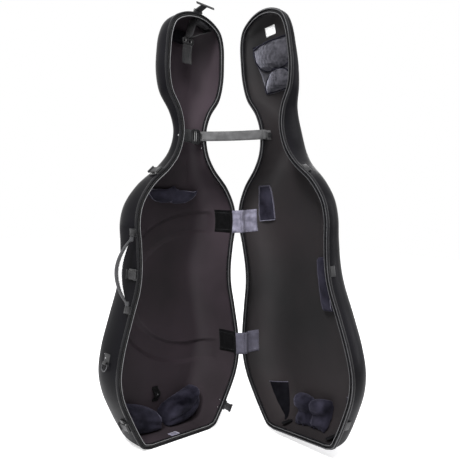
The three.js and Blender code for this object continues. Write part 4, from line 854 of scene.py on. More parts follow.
slot_top = SEAL_DEEP + GAP
edging_section = (
    ridge(0, SEAL_IN, GAP, slot_top) + [(SEAL_IN, slot_top), (SEAL_IN + SEAL_WIDE, slot_top)]
    + ridge(SEAL_IN + SEAL_WIDE, RIM_WIDE, GAP, slot_top)
    + [(RIM_WIDE, RIM_TALL - 0.0012), (RIM_WIDE - 0.0012, RIM_TALL)]
    + [(RIM_LIP + WALL + 2 * GAP, RIM_TALL), (RIM_LIP + WALL + 2 * GAP, slot_top + 0.0001)]
    + [(RIM_LIP, slot_top + 0.0001), (RIM_LIP, RIM_TALL), (0.0005, RIM_TALL), (0, RIM_TALL - 0.0006)])
seal_section = [(SEAL_IN + 0.0004, SEAL_DEEP)] + ridge(
    SEAL_IN + 0.0005, SEAL_IN + SEAL_WIDE - 0.0005, 0.0011, SEAL_DEEP) + [
    (SEAL_IN + SEAL_WIDE - 0.0004, SEAL_DEEP)]
rim_path = [(x, z, 0) for x, z in closed_outline(RIM_SHARES, RIM_BOTTOM_STEPS)]


def rim_extrusion(name, section, side, material, place, crests=(), crest=None):
    """The section swept along the rim; crests are the section's faces that get the paler crest finish, a
    painted highlight.
    """
    profile = wire(name + "_section", [(-inward, deep * side, 0) for inward, deep in section], closed=True)
    piece = wire(name, rim_path, closed=True)
    grown(piece, swept, {sweep_ids["profile"]: profile, sweep_ids["finish"]: material})
    bpy.data.objects.remove(profile)
    if crests:
        piece.data.materials.append(crest)
        highlighted = [int(i % len(section) in crests) for i in range(len(piece.data.polygons))]
        piece.data.polygons.foreach_set("material_index", highlighted)
    found = mesh_points(piece)
    put_points(piece, place(np.column_stack([found[:, 0], -found[:, 2], found[:, 1]])))
    turned_outwards(piece)
    piece.data.set_sharp_from_angle(angle=HARD_EDGE)
    return piece


base_rim = rim_extrusion("base_rim_extrusion", edging_section, BASE_SIDE, rim_black, as_is,
                         crests=INNER_CREST, crest=rim_ridge_highlight)
lid_rim = rim_extrusion("lid_rim_extrusion", edging_section, LID_SIDE, rim_black, opened,
                        crests=OUTER_CREST + INNER_CREST, crest=lid_ridge_highlight)
seal = rim_extrusion("rim_seal_cord", seal_section, BASE_SIDE, seal_rubber, as_is)
settle(base_rim, "base", "trim", "base_edging")
settle(lid_rim, "lid", "trim", "lid_edging")
settle(seal, "base", "rubber", "rim_seal")
print("rim face stands at", round(mesh_points(base_rim)[:, 1].min() * 1000, 2), "mm")

# %% [markdown]
# ## Padded pieces
# The cushions are velvet over foam. Each starts as a copy of its CAD solid, slightly
# drawn in, remeshed into even cells so that cloth can stretch evenly, and blown up a
# little by cloth pressure with gravity off. A cap on how far a point may move keeps it
# clear of its neighbours, and any point that would pass the shell is put back on it, so
# the pad is crowned in front and flat where it rests.

# %% Blowing up a cushion
CELL, DRAW_IN, WALL_CLEARANCE = 0.0055, 0.0015, 0.0007
CLOTH_FRAMES, CLOTH_PRESSURE, CLOTH_STIFFNESS = 20, 4.0, 12


def resting_on(points, wall):
    """Moves points that lie too near a wall, or beyond it, back to its near side."""
    moved = points.copy()
    for i, point in enumerate(points):
        near, normal, _, _ = wall.find_nearest(Vector(point))
        off = Vector(point) - near
        facing = normal if normal.y * near.y < 0 else -normal
        if off.dot(facing) < WALL_CLEARANCE:
            moved[i] = near + facing * WALL_CLEARANCE
    return moved


def capped(start, moved, cap):
    """Moved points, none further than cap from its start."""
    step = moved - start
    length = np.linalg.norm(step, axis=1)[:, None]
    return start + step * np.minimum(1, cap / np.maximum(length, 1e-9))


def blown_up(piece, cap):
    """Inflates a closed mesh as cloth, with gravity off."""
    start = mesh_points(piece)
    cloth = piece.modifiers.new("blow_up", "CLOTH")
    cloth.settings.use_pressure = True
    cloth.settings.uniform_pressure_force = CLOTH_PRESSURE
    cloth.settings.quality = 5
    cloth.settings.tension_stiffness = CLOTH_STIFFNESS
    cloth.settings.compression_stiffness = CLOTH_STIFFNESS
    cloth.settings.effector_weights.gravity = 0
    cloth.point_cache.frame_start, cloth.point_cache.frame_end = 1, CLOTH_FRAMES
    scene = bpy.context.scene
    for step in range(1, CLOTH_FRAMES + 1):
        scene.frame_set(step)
    applied(piece)
    put_points(piece, capped(start, mesh_points(piece), cap))
    scene.frame_set(1)


print("cloth frames", CLOTH_FRAMES, "pressure", CLOTH_PRESSURE)

# %% [markdown]
# The CAD solid has long thin triangles, which cloth would crease along. Remeshing it by
# voxels gives even cells, and drawing it in first leaves room for the crown.

# %% A cushion from its solid
def cushion(name, node, cap, material=navy_velvet):
    """Blown-up copy of a CAD pad in even cells."""
    piece = copied(name, node)
    turned_outwards(piece, 1e-5)
    remesh = piece.modifiers.new("even_cells", "REMESH")
    remesh.mode, remesh.voxel_size = "VOXEL", CELL
    applied(piece)
    points = mesh_points(piece)
    normals = np.array([v.normal for v in piece.data.vertices])
    put_points(piece, points - normals * DRAW_IN)
    blown_up(piece, cap)
    return coated(piece, material)


print("cushion cells of", CELL, "m, drawn in by", DRAW_IN, "m")

# %% [markdown]
# Each pad gets its own share of work after it is blown up. A seam pulls the velvet in
# along a line, so points near the line sink in a narrow soft groove. The line is given
# as shares of the case's half width and height and is dropped on the pad by rays.

# %% Seams
LINE_STEPS = 8
IN_BASE, IN_LID = ("base", base_wall, as_is, as_is), ("lid", lid_wall, opened, closed_again)


def grooved(points, line, wide, deep, inward):
    """Sinks points near a polyline by a soft groove."""
    line = np.asarray(line, float)
    best = np.full(len(points), 1e9)
    for a, b in zip(line, line[1:]):
        along = b - a
        t = np.clip(((points - a) @ along) / (along @ along), 0, 1)[:, None]
        best = np.minimum(best, np.linalg.norm(points - a - along * t, axis=1))
    return points + np.asarray(inward) * (deep * np.exp(-(best / wide) ** 2))[:, None]


def face_tree(points, piece):
    """Search tree of a piece whose points stand at the given places."""
    return BVHTree.FromPolygons([tuple(p) for p in points], [tuple(f.vertices) for f in piece.data.polygons])


def front_line(piece, line, side, to_closed):
    """Drops a line of (x, z) shares on the front of a piece."""
    tree = face_tree(to_closed(mesh_points(piece)), piece)
    dense = smooth_through([(x * HALF_WIDTH, z * HEIGHT) for x, z in line], LINE_STEPS)
    found = [tree.ray_cast(Vector((x, 0, z)), Vector((0, side, 0)))[0] for x, z in dense]
    return np.array([tuple(f) for f in found if f is not None])


def finished_pad(piece, half, node):
    """Lays a pad on its wall and smooths it."""
    body, wall, to_open, to_closed = half
    put_points(piece, to_open(resting_on(to_closed(mesh_points(piece)), wall)))
    smoothed(piece, 1)
    settle(piece, body, "velvet", node)


print("seam lines follow", LINE_STEPS, "steps to a span")

# %% [markdown]
# The base holds one long pad at the shoulder, two at the bottom that meet in the
# middle, and a thin one in the head. The bottom pads have a seam along their length,
# set apart from their edge. A pad's outline comes from its CAD solid, so only the seam
# and the crown are made here.

# %% Base pads
BOTTOM_SEAM = ((0.04, 0.02), (0.2, 0.03), (0.4, 0.042), (0.6, 0.066))
BOTTOM_SEAM_WIDE, BOTTOM_SEAM_DEEP = 0.007, 0.006

shoulder_pad = cushion("shoulder_pad", "shoulder_cushion", cap=0.006)
left_pad = cushion("bottom_pad_left", "bottom_cushion_left", cap=0.008)
right_pad = cushion("bottom_pad_right", "bottom_cushion_right", cap=0.008)
# The head pad is black velvet, a dark sheet standing in for the shade between the scroll strap's arms:
# painted shade.
scroll_pad = cushion("scroll_pad", "head_pad", cap=0.005, material=black_velvet)
for pad, hand in ((left_pad, -1), (right_pad, 1)):
    line = front_line(pad, [(hand * x, z) for x, z in BOTTOM_SEAM], BASE_SIDE, as_is)
    put_points(pad, grooved(mesh_points(pad), line, BOTTOM_SEAM_WIDE, BOTTOM_SEAM_DEEP, (0, BASE_SIDE, 0)))
finished_pad(shoulder_pad, IN_BASE, "shoulder_cushion")
finished_pad(left_pad, IN_BASE, "bottom_cushion_left")
finished_pad(right_pad, IN_BASE, "bottom_cushion_right")
finished_pad(scroll_pad, IN_BASE, "head_pad")
print("base pads", len(left_pad.data.polygons), len(right_pad.data.polygons), "faces")

# %% [markdown]
# The lid has a long thin pad down one side and a fat cushion at the bottom, which two
# seams pull into lobes. One cushion with deep seams keeps the lobes joined as they are
# on the real one. It is also drawn in a little towards its corner at the hinges, where
# it is sewn down.

# %% Lid pads
BRIDGE_DRAWN_IN = 0.87
LOBE_SPLIT = [(0.04, 0.058), (0.04, 0.068), (0.04, 0.078), (0.04, 0.09)]
LOBE_SLANT = [(-0.24, 0.05), (-0.06, 0.047), (0.12, 0.044), (0.28, 0.045)]

long_pad = cushion("long_side_pad", "side_pad", cap=0.006)
bridge_pad = cushion("bridge_pad", "bridge_cushion", cap=0.007)
points = closed_again(mesh_points(bridge_pad))
corner = np.array([points[:, 0].max(), 0, points[:, 2].min()])
points = corner + (points - corner) * (BRIDGE_DRAWN_IN, 1, BRIDGE_DRAWN_IN)
put_points(bridge_pad, opened(points))
split, slant = (front_line(bridge_pad, seam, LID_SIDE, closed_again) for seam in (LOBE_SPLIT, LOBE_SLANT))
points = grooved(points, split, 0.0085, 0.018, (0, LID_SIDE, 0))
points = grooved(points, slant, 0.005, 0.003, (0, LID_SIDE, 0))
put_points(bridge_pad, opened(points))
finished_pad(long_pad, IN_LID, "side_pad")
finished_pad(bridge_pad, IN_LID, "bridge_cushion")
print("lid pads", len(bridge_pad.data.polygons), len(long_pad.data.polygons), "faces")

# %% [markdown]
# ## Piping
# The pads and pockets are edged with piping, a cord wrapped in cloth that is sewn into
# the seam. It follows a path with one round section, so a second small tree makes it:
# the line becomes a curve, a circle is swept along it, and the ends are capped.

# %% A tree for piping
def piping_tree():
    tree = bpy.data.node_groups.new("piping", "GeometryNodeTree")
    ids = {"line": add_socket(tree, "Seam line", "NodeSocketGeometry"),
           "radius": add_socket(tree, "Radius", "NodeSocketFloat", 0.0015),
           "finish": add_socket(tree, "Finish", "NodeSocketMaterial")}
    add_socket(tree, "Piping", "NodeSocketGeometry", way="OUTPUT")
    n, link = tree.nodes, tree.links.new
    start, end = n.new("NodeGroupInput"), n.new("NodeGroupOutput")
    curve, circle = n.new("GeometryNodeMeshToCurve"), n.new("GeometryNodeCurvePrimitiveCircle")
    circle.inputs["Resolution"].default_value = 8
    sweep, real = n.new("GeometryNodeCurveToMesh"), n.new("GeometryNodeRealizeInstances")
    sweep.inputs["Fill Caps"].default_value = True
    coat = n.new("GeometryNodeSetMaterial")
    link(start.outputs["Seam line"], curve.inputs[0])
    link(start.outputs["Radius"], circle.inputs["Radius"])
    link(curve.outputs[0], sweep.inputs["Curve"])
    link(circle.outputs[0], sweep.inputs["Profile Curve"])
    link(sweep.outputs[0], real.inputs[0])
    link(real.outputs[0], coat.inputs["Geometry"])
    link(start.outputs["Finish"], coat.inputs["Material"])
    link(coat.outputs[0], end.inputs[0])
    return tree, ids


piping, piping_ids = piping_tree()


def piped(name, points, radius, material, body):
    piece = wire(name, points)
    grown(piece, piping, {piping_ids["radius"]: radius, piping_ids["finish"]: material})
    settle(turned_outwards(piece), body, "velvet")


upper_line = [(-0.425, 0.5925), (-0.35, 0.588), (-0.25, 0.589), (-0.13, 0.592), (-0.05, 0.5955),
              (0, 0.6015), (0.05, 0.5955), (0.13, 0.592), (0.25, 0.589), (0.35, 0.588), (0.425, 0.5925)]
lower_line = [(-0.425, 0.587), (-0.34, 0.5715), (-0.25, 0.5615), (-0.14, 0.557), (0, 0.5565),
              (0.14, 0.557), (0.25, 0.5615), (0.34, 0.5715), (0.425, 0.587)]
pad_edge = [(-0.39, 0.297), (-0.4, 0.34), (-0.398, 0.38), (-0.395, 0.417)]
for word, line in (("upper", upper_line), ("lower", lower_line)):
    piped(f"shoulder_piping_{word}", front_line(shoulder_pad, line, BASE_SIDE, as_is), 0.0012,
          light_piping, "base")
piped("side_pad_piping", opened(front_line(long_pad, pad_edge, LID_SIDE, closed_again)), 0.001,
      light_piping, "lid")
print("piping on pads done")

# %% [markdown]
# ## Pockets in the lid
# The pockets are velvet panels that stand off the wall at the mouth and lie on it at
# the closed end. A panel is a grid: each row has a left and a right edge, a height and
# a stand-off. A few shallow waves across the grid give the soft creases of cloth that
# is held only at its edges, and Solidify gives it thickness.

# %% Pocket helper
def deep_at(wall, side, x, z):
    found = wall.ray_cast(Vector((x, side * SHELL_EDGE, z)), Vector((0, side, 0)))[0]
    return abs(found.y) if found else 0.0


def grid_faces(rows, columns):
    return [(r * columns + c, r * columns + c + 1, (r + 1) * columns + c + 1, (r + 1) * columns + c)
            for r in range(rows - 1) for c in range(columns - 1)]


ACROSS_STEPS, ROW_STEPS, CLOTH_GAP, POCKET_THICK = 22, 5, 0.0008, 0.0022
# Heights are counted in hundredths, so that the spline bends by height and not by stand-off.
HUNDREDTHS = 100


def pocket_grid(rows, bulge, crease, seed):
    """Rows of (left, right, height, stand-off) shares spread to a creased grid in closed places."""
    dense = smooth_through([(r[2] * HUNDREDTHS, r[3]) for r in rows], ROW_STEPS)
    left, right = (np.interp(dense[:, 0], [r[2] * HUNDREDTHS for r in rows], [r[k] for r in rows])
                   for k in (0, 1))
    grid = []
    for (level, stand), low, high in zip(dense, left, right):
        z = level / HUNDREDTHS * HEIGHT
        first, last = (deep_at(lid_wall, LID_SIDE, x * HALF_WIDTH, z) for x in (low, high))
        for t in np.linspace(0, 1, ACROSS_STEPS + 1):
            x = (low + (high - low) * t) * HALF_WIDTH
            wall = deep_at(lid_wall, LID_SIDE, x, z) - CLOTH_GAP
            chord = first + (last - first) * t - bulge * math.sin(math.pi * t) ** 0.8
            stand_here = min(max(stand, 0), 1)
            deep = wall + (min(chord, wall) - wall) * stand_here
            wave = math.sin(t * 23 + z * 160 * seed) + 0.6 * math.sin(t * 41 - z * 240 + seed)
            deep -= crease * abs(wave) * math.sin(math.pi * t) * stand_here
            grid.append((x, -deep, z))
    return np.array(grid), len(dense)


def thickened(piece, thick):
    wall = piece.modifiers.new("cloth_thickness", "SOLIDIFY")
    wall.thickness, wall.offset = thick, 0.0
    return piece


def pocket(name, node, rows, bulge, crease, material, seed=1.0):
    """A pocket panel in the lid. Its grid of points comes back, for the trim."""
    grid, rows_found = pocket_grid(rows, bulge, crease, seed)
    grid[:, 1] += POCKET_THICK / 2 + CLOTH_GAP / 2
    piece = make_piece(name, opened(grid), grid_faces(rows_found, ACROSS_STEPS + 1), material)
    smoothed(thickened(piece, POCKET_THICK), 1)
    settle(turned_outwards(piece), "lid", "velvet", node)
    return grid.reshape(rows_found, ACROSS_STEPS + 1, 3)


print("pocket grids are", ACROSS_STEPS, "cells wide")

# %% [markdown]
# The accessory pouch in the head has an upper pocket over a lower one, both edged with
# dark piping, on a paler backing cloth that is glued flat on the wall. The backing needs
# no spline or creases, so it has a plainer helper than the pockets.

# %% Accessory pouch
POUCH_PIPING, BACKING_THICK, BACKING_ROWS, BACKING_COLUMNS = 0.0027, 0.0012, 26, 20


def pocket_trim(name, border):
    """Piping along the mouth and round the other three sides of a pocket."""
    lift = np.array([0, POUCH_PIPING, 0])
    piped(name + "_mouth", opened(border[-1] + lift), POUCH_PIPING, dark_piping, "lid")
    hem = np.vstack([border[::-1, 0], border[0], border[:, -1]])
    piped(name + "_hem", opened(hem + lift), POUCH_PIPING * 0.9, dark_piping, "lid")


def wall_cloth(name, rows, material):
    """Velvet glued flat on the lid wall, from rows of (left, right, height) shares."""
    grid = []
    for level in np.linspace(rows[0][2], rows[-1][2], BACKING_ROWS):
        low, high = (np.interp(level, [r[2] for r in rows], [r[k] for r in rows]) for k in (0, 1))
        for t in np.linspace(0, 1, BACKING_COLUMNS + 1):
            x, z = (low + (high - low) * t) * HALF_WIDTH, level * HEIGHT
            grid.append((x, BACKING_THICK / 2 + 0.0003 - deep_at(lid_wall, LID_SIDE, x, z), z))
    piece = make_piece(name, opened(grid), grid_faces(BACKING_ROWS, BACKING_COLUMNS + 1), material)
    applied(thickened(piece, BACKING_THICK))
    settle(turned_outwards(piece), "lid", "velvet")
    return np.array(grid).reshape(BACKING_ROWS, BACKING_COLUMNS + 1, 3)


upper_rows = [(-0.09, 0.09, 0.868, 0), (-0.2, 0.2, 0.8708, 0.5), (-0.29, 0.29, 0.8805, 0.9),
              (-0.34, 0.34, 0.8973, 1), (-0.352, 0.352, 0.9158, 0.9), (-0.344, 0.344, 0.9282, 0.75)]
lower_rows = [(-0.256, 0.256, 0.8201, 0), (-0.264, 0.264, 0.8239, 0.5), (-0.268, 0.268, 0.834, 0.95),
              (-0.22, 0.22, 0.8494, 1), (-0.15, 0.15, 0.8605, 0.9), (-0.06, 0.06, 0.8652, 0.85)]
backing_rows = [(-0.27, 0.27, 0.8175), (-0.3, 0.3, 0.866), (-0.362, 0.362, 0.9), (-0.36, 0.36, 0.9335)]
upper_border = pocket("pouch_upper_pocket_cloth", "pouch_upper_pocket", upper_rows, bulge=0.02,
                      crease=0.0048, material=pouch_velvet)
lower_border = pocket("pouch_lower_pocket_cloth", "pouch_lower_pocket", lower_rows, bulge=0.018,
                      crease=0.0038, material=pouch_velvet, seed=1.7)
pocket_trim("pouch_upper", upper_border)
pocket_trim("pouch_lower", lower_border)
backing_grid = wall_cloth("pouch_backing", backing_rows, backing_velvet)
piped("pouch_flap_edge", opened(backing_grid[-1] + np.array([0, 0.0022, 0])), 0.002, dark_piping, "lid")
print("pouch grids", upper_border.shape, lower_border.shape)

# %% [markdown]
# Two bows ride in the lid: each tip goes into a small pocket at the waist and each frog
# into one at the bottom. All four are the same kind of panel, so one loop makes them
# from two tables. The left ones stand a little nearer the middle than the right ones.

# %% Bow pockets
tip_rows = [(0.488, 0.696, 0.5151, 1), (0.488, 0.696, 0.5328, 1), (0.484, 0.672, 0.556, 1),
            (0.48, 0.632, 0.5776, 0.85), (0.476, 0.592, 0.5931, 0.4), (0.476, 0.568, 0.6015, 0)]
frog_rows = [(0.49, 0.51, 0.0124, 0), (0.51, 0.575, 0.0263, 0.7), (0.53, 0.66, 0.0494, 1),
             (0.55, 0.736, 0.0741, 1), (0.57, 0.8, 0.0988, 1)]
NEARER = {1: 0.0, -1: 0.09}
BOW_CREASE, MOUTH_PIPING, HEM_PIPING = 0.0006, 0.0012, 0.002
kinds = (("tip", tip_rows, 0.006, navy_velvet, light_piping),
         ("frog", frog_rows, 0.004, black_velvet, dusk_velvet))
for kind, rows, bulge, cloth, edge in kinds:
    for hand, word in ((1, "right"), (-1, "left")):
        mine = [(hand * (a - NEARER[hand]), hand * (b - NEARER[hand]), z, s) for a, b, z, s in rows]
        border = pocket(f"bow_{kind}_pocket_{word}_cloth", f"bow_{kind}_pocket_{word}", mine, bulge,
                        BOW_CREASE, cloth)
        mouth = border[-1] if kind == "frog" else border[0]
        piped(f"bow_{kind}_{word}_mouth", opened(mouth + np.array([0, MOUTH_PIPING, 0])), MOUTH_PIPING,
              edge, "lid")
        if kind == "tip":
            hem = np.vstack([border[1:, 0], border[-1], border[::-1, -1]]) + np.array([0, 0.0006, 0])
            piped(f"bow_tip_{word}_hem", opened(hem), HEM_PIPING, dusk_velvet, "lid")
print("bow pockets stand off by", {kind: bulge for kind, _, bulge, _, _ in kinds})

# %% [markdown]
# ## Webbing and hinge bands
# A strap is a flat strip: rows of points along its route, a few points across, and a
# back face offset by its thickness. Its edges are drawn thinner, because woven edges
# are rounded. The strip carries its own UV map in metres, which the weave follows.

# %% Strip helper
WOVEN_EDGE, CORNER_STEPS = 0.35, 4


def opened_grid(rows):
    """A grid of closed places, swung open with the lid."""
    grid = np.array(rows, float)
    return opened(grid.reshape(-1, 3)).reshape(grid.shape)


def run_lengths(line):
    return np.concatenate([[0], np.cumsum(np.linalg.norm(np.diff(line, axis=0), axis=1))])


def strip(name, rows, thick, material, body=None, slot=None, node=None):
    """Flat strip over rows of points. Without a body it is left to the caller to settle."""
    grid = np.array(rows, float)
    count, wide = grid.shape[:2]
    normal = np.cross(np.gradient(grid, axis=0), np.gradient(grid, axis=1))
    normal /= np.linalg.norm(normal, axis=2)[:, :, None]
    profile = np.ones(wide)
    profile[[0, -1]] = WOVEN_EDGE
    half = normal * (thick / 2 * profile)[None, :, None]
    points = np.vstack([(grid + half).reshape(-1, 3), (grid - half).reshape(-1, 3)])
    cells, shift = grid_faces(count, wide), count * wide
    faces = cells + [tuple(reversed([v + shift for v in f])) for f in cells]
    rims = [(r * wide + c, (r + 1) * wide + c) for r in range(count - 1) for c in (0, wide - 1)]
    rims += [(r * wide + c, r * wide + c + 1) for c in range(wide - 1) for r in (0, count - 1)]
    faces += [(a, b, b + shift, a + shift) for a, b in rims]
    piece = turned_outwards(make_piece(name, points, faces, material))
    length, width = run_lengths(grid[:, 0]), run_lengths(grid[0])
    layer = piece.data.uv_layers.new(name="UVMap")
    spots = [(width[i % wide], length[(i % shift) // wide]) for i in range(len(points))]
    for loop in piece.data.loops:
        layer.data[loop.index].uv = spots[loop.vertex_index]
    if body:
        settle(piece, body, slot, *([node] if node else []))
    return piece


print("woven edges are", WOVEN_EDGE, "of the thickness")

# %% [markdown]
# A route is given by a few rows and smoothed into many. Where a strap lies on a wall or
# over the rim, rays and the rim line say how far out it can run, so it follows the
# shells when their numbers change.

# %% Rows along a route
def dense_rows(rows, steps):
    """Smooths a few rows into many, column by column."""
    grid = np.array(rows, float)
    t = np.linspace(0, len(grid) - 1, (len(grid) - 1) * steps + 1)
    i = np.clip(t.astype(int), 0, len(grid) - 2)
    f = (t - i)[:, None, None]
    p = np.concatenate([[2 * grid[0] - grid[1]], grid, [2 * grid[-1] - grid[-2]]])
    a, b, c, d = p[i], p[i + 1], p[i + 2], p[i + 3]
    bend = (2 * a - 5 * b + 4 * c - d) * f ** 2 + (3 * b - a - 3 * c + d) * f ** 3
    return 0.5 * (2 * b + (c - a) * f + bend)


def side_wall(wall, side, deep, z):
    """Distance of the right side wall from the middle, at a depth and a height."""
    found = wall.ray_cast(Vector((0, side * deep, z)), Vector((1, 0, 0)))[0]
    return abs(found.x)


right_half = inset(closed_outline(RIM_SHARES, RIM_BOTTOM_STEPS), RIM_WIDE + GAP)
right_half = right_half[:(len(RIM_SHARES) - 1) * OUTLINE_STEPS + 1]


def edge_x(z):
    """Inner edge of the rim edging at a height, on the hinge side."""
    return float(np.interp(z, right_half[:, 1], right_half[:, 0]))


print("edge at mid height", round(edge_x(0.6), 4))

# %% [markdown]
# A wide cloth band covers each hinge: black up the wall of the base, where the black is
# painted shade on the lavender cloth, lavender down the wall of the lid, with a fold between
# them over the gap. The fold really bends when the lid moves, so it is a piece of its own.

# %% Hinge bands
BAND_WIDE, BAND_THICK, BAND_ROWS = 0.073, 0.0016, 9
BAND_SHARES = {"upper": 0.5181, "lower": 0.2042}
BAND_DEEP = {BASE_SIDE: 0.080, LID_SIDE: 0.060}
WALL_LIFT, EDGE_LIFT, FOLD_START = 0.0007, 0.0003, 0.0003


def band_levels(share):
    return share * HEIGHT + BAND_WIDE * (np.linspace(0, 1, 9) - 0.5)


def on_edge(z):
    return edge_x(z) - BAND_THICK / 2 - EDGE_LIFT


def band_rows(wall, side, share):
    """Rows up the wall from the band's deep end, then over the rim edging."""
    levels = band_levels(share)
    deeps = np.linspace(BAND_DEEP[side], RIM_TALL + 0.004, BAND_ROWS)
    rows = [[(side_wall(wall, side, y, z) - BAND_THICK / 2 - WALL_LIFT, side * y, z) for z in levels]
            for y in deeps]
    return rows + [[(on_edge(z), side * y, z) for z in levels] for y in (RIM_TALL, 0.004, 0.0006)]


# Painted shade: the base half of each band is black, and the lower lid band takes the darker lavender copy.
for word, share in BAND_SHARES.items():
    lavender = pale_velvet if word == "upper" else dusk_velvet
    strip(f"hinge_cloth_base_{word}", band_rows(base_wall, BASE_SIDE, share), BAND_THICK, black_web,
          "base", "black_webbing", f"hinge_band_base_{word}")
    strip(f"hinge_cloth_lid_{word}", opened_grid(band_rows(lid_wall, LID_SIDE, share)), BAND_THICK,
          lavender, "lid", "pale_velvet", f"hinge_band_lid_{word}")
    near = np.array([(on_edge(z), -FOLD_START, z) for z in band_levels(share)])
    far = opened([(on_edge(z), FOLD_START, z) for z in band_levels(share)])
    fold = strip(f"hinge_cloth_fold_{word}", [near + (far - near) * t for t in np.linspace(0, 1, 7)],
                 BAND_THICK, lavender)
    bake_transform(fold)
    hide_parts(f"hinge_fold_{word}")
print("hinge bands at", [round(share * HEIGHT, 3) for share in BAND_SHARES.values()], "m")

# %% [markdown]
# ## Neck strap and buckles
# A padded strap crosses the neck and a flat ladder buckle sits on it. The scroll end
# has a loop of webbing drawn together at a buckle, with a free tail. The straps keep
# the routes of their CAD solids; the loop is drawn finer here.

# %% Neck strap
NECK_Z, NECK_WIDE = 0.7166 * HEIGHT, 0.039
WEBBING_THICK = 0.002


def neck_rows():
    """Rows from wall to wall: the strap leaves the walls at an angle and runs straight across."""
    levels = NECK_Z + NECK_WIDE * (np.linspace(0, 1, 5) - 0.5)
    tight = {y: min(side_wall(base_wall, BASE_SIDE, y, z) for z in levels) for y in (0.038, 0.028, 0.018)}
    half = [(tight[0.038] - 0.0016, 0.038), (tight[0.028] - 0.0016, 0.028),
            (tight[0.018] - 0.005, 0.0175), (tight[0.018] * 0.5, 0.0175), (0.0, 0.0178)]
    route = half + [(-x, y) for x, y in half[-2::-1]]
    return dense_rows([[(x, y, z) for z in levels] for x, y in route], CORNER_STEPS)


neck_grid = neck_rows()
strip("neck_webbing", neck_grid, WEBBING_THICK, dark_web, "base", "black_webbing", "neck_strap")
print("neck strap rows", len(neck_grid))

# %% [markdown]
# A buckle is a moulded frame with bars of bright wire. Its CAD solid has the right
# form, so it is taken over with its edges rounded. The bars are thin, so they are made
# here, as balls stretched to rods.

# %% Buckles
FLAT_ANGLE, BEVEL_ANGLE, SHARP_ANGLE = math.radians(2), math.radians(32), math.radians(34)


def finer(name, node, body, slot, material, bevel=0.0006, segments=2):
    """A CAD piece with its coplanar triangles dissolved and its edges rounded."""
    piece = copied(name, node)
    work = bmesh.new()
    work.from_mesh(piece.data)
    bmesh.ops.remove_doubles(work, verts=work.verts, dist=1e-5)
    bmesh.ops.dissolve_limit(work, angle_limit=FLAT_ANGLE, verts=work.verts, edges=work.edges)
    work.to_mesh(piece.data)
    work.free()
    edge = piece.modifiers.new("rounded_edges", "BEVEL")
    edge.width, edge.segments = bevel, segments
    edge.limit_method, edge.angle_limit = "ANGLE", BEVEL_ANGLE
    coated(applied(piece), material)
    piece.data.set_sharp_from_angle(angle=SHARP_ANGLE)
    return settle(piece, body, slot, node)


def bars(name, node, shares, long_share, radius):
    """Round bars across a buckle, on its front face."""
    low, high = (np.array(corner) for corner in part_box(node))
    middle, half_long = (low[2] + high[2]) / 2, (high[2] - low[2]) / 2 * long_share
    work = bmesh.new()
    for share in shares:
        x = low[0] + (high[0] - low[0]) * share
        place = Matrix.Translation((x, low[1] - radius * 0.3, middle))
        long = Matrix.Diagonal((1, 1, half_long / radius, 1))
        bmesh.ops.create_uvsphere(work, u_segments=12, v_segments=10, radius=radius, matrix=place @ long)
    mesh = bpy.data.meshes.new(name)
    work.to_mesh(mesh)
    work.free()
    piece = bpy.data.objects.new(name, mesh)
    bpy.context.scene.collection.objects.link(piece)
    settle(coated(piece, bright_steel), "base", "steel")


for word in ("neck", "head"):
    finer(f"{word}_buckle_moulded", f"{word}_buckle", "base", "hardware", latch_black, 0.0009, 3)
bars("neck_buckle_bars", "neck_buckle", (0.3, 0.52), long_share=0.72, radius=0.0013)
bars("head_buckle_bars", "head_buckle", (0.25, 0.75), long_share=0.6, radius=0.001)
print("buckle bars", (0.3, 0.52), (0.25, 0.75))

# %% [markdown]
# The scroll strap leaves the buckle, opens into a loop under the top of the head and
# comes back to the buckle. Its free tail hangs down, and a grey tab lies in the loop.
# The loop is a closed route of a few points, which are smoothed like the neck strap's.

# %% Scroll strap
HEAD_NEAR, HEAD_WIDE, TAIL_HALF = 0.015, 0.037, 0.019
buckle_low, buckle_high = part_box("head_buckle")
foot_x, foot_z = (buckle_low[0] + buckle_high[0]) / 2, buckle_high[2]
left_x, right_x = 0.032 * HALF_WIDTH, 0.28 * HALF_WIDTH


def ceiling_at(x, deeps):
    """Lowest place of the head's top wall over a few depths."""
    rays = [base_wall.ray_cast(Vector((x, deep, HEIGHT * 0.9)), Vector((0, 0, 1)))[0] for deep in deeps]
    return min(ray.z for ray in rays)


def head_loop():
    """Rows round the loop, from the buckle up the left, along the top and back down."""
    deeps = np.linspace(HEAD_NEAR, HEAD_NEAR + HEAD_WIDE, 5)

    def top(x):
        return ceiling_at(x, deeps) - 0.0016

    def risen(x, across, up):
        return foot_x + across * (x - foot_x), foot_z + up * (top(x) - foot_z)
    middle = 0.5 * (left_x + right_x)
    route = [(foot_x - 0.001, foot_z + 0.0008), risen(left_x, 0.55, 0.55),
             (left_x - 0.001, top(left_x) - 0.004), (left_x + 0.003, top(left_x + 0.003)),
             (middle, top(middle)), (right_x - 0.004, top(right_x - 0.004)),
             (right_x - 0.001, top(right_x) - 0.006), risen(right_x, 0.5, 0.46),
             (foot_x + 0.004, foot_z + 0.0008)]
    return dense_rows([[(x, d, z) for d in deeps] for x, z in route], 5)


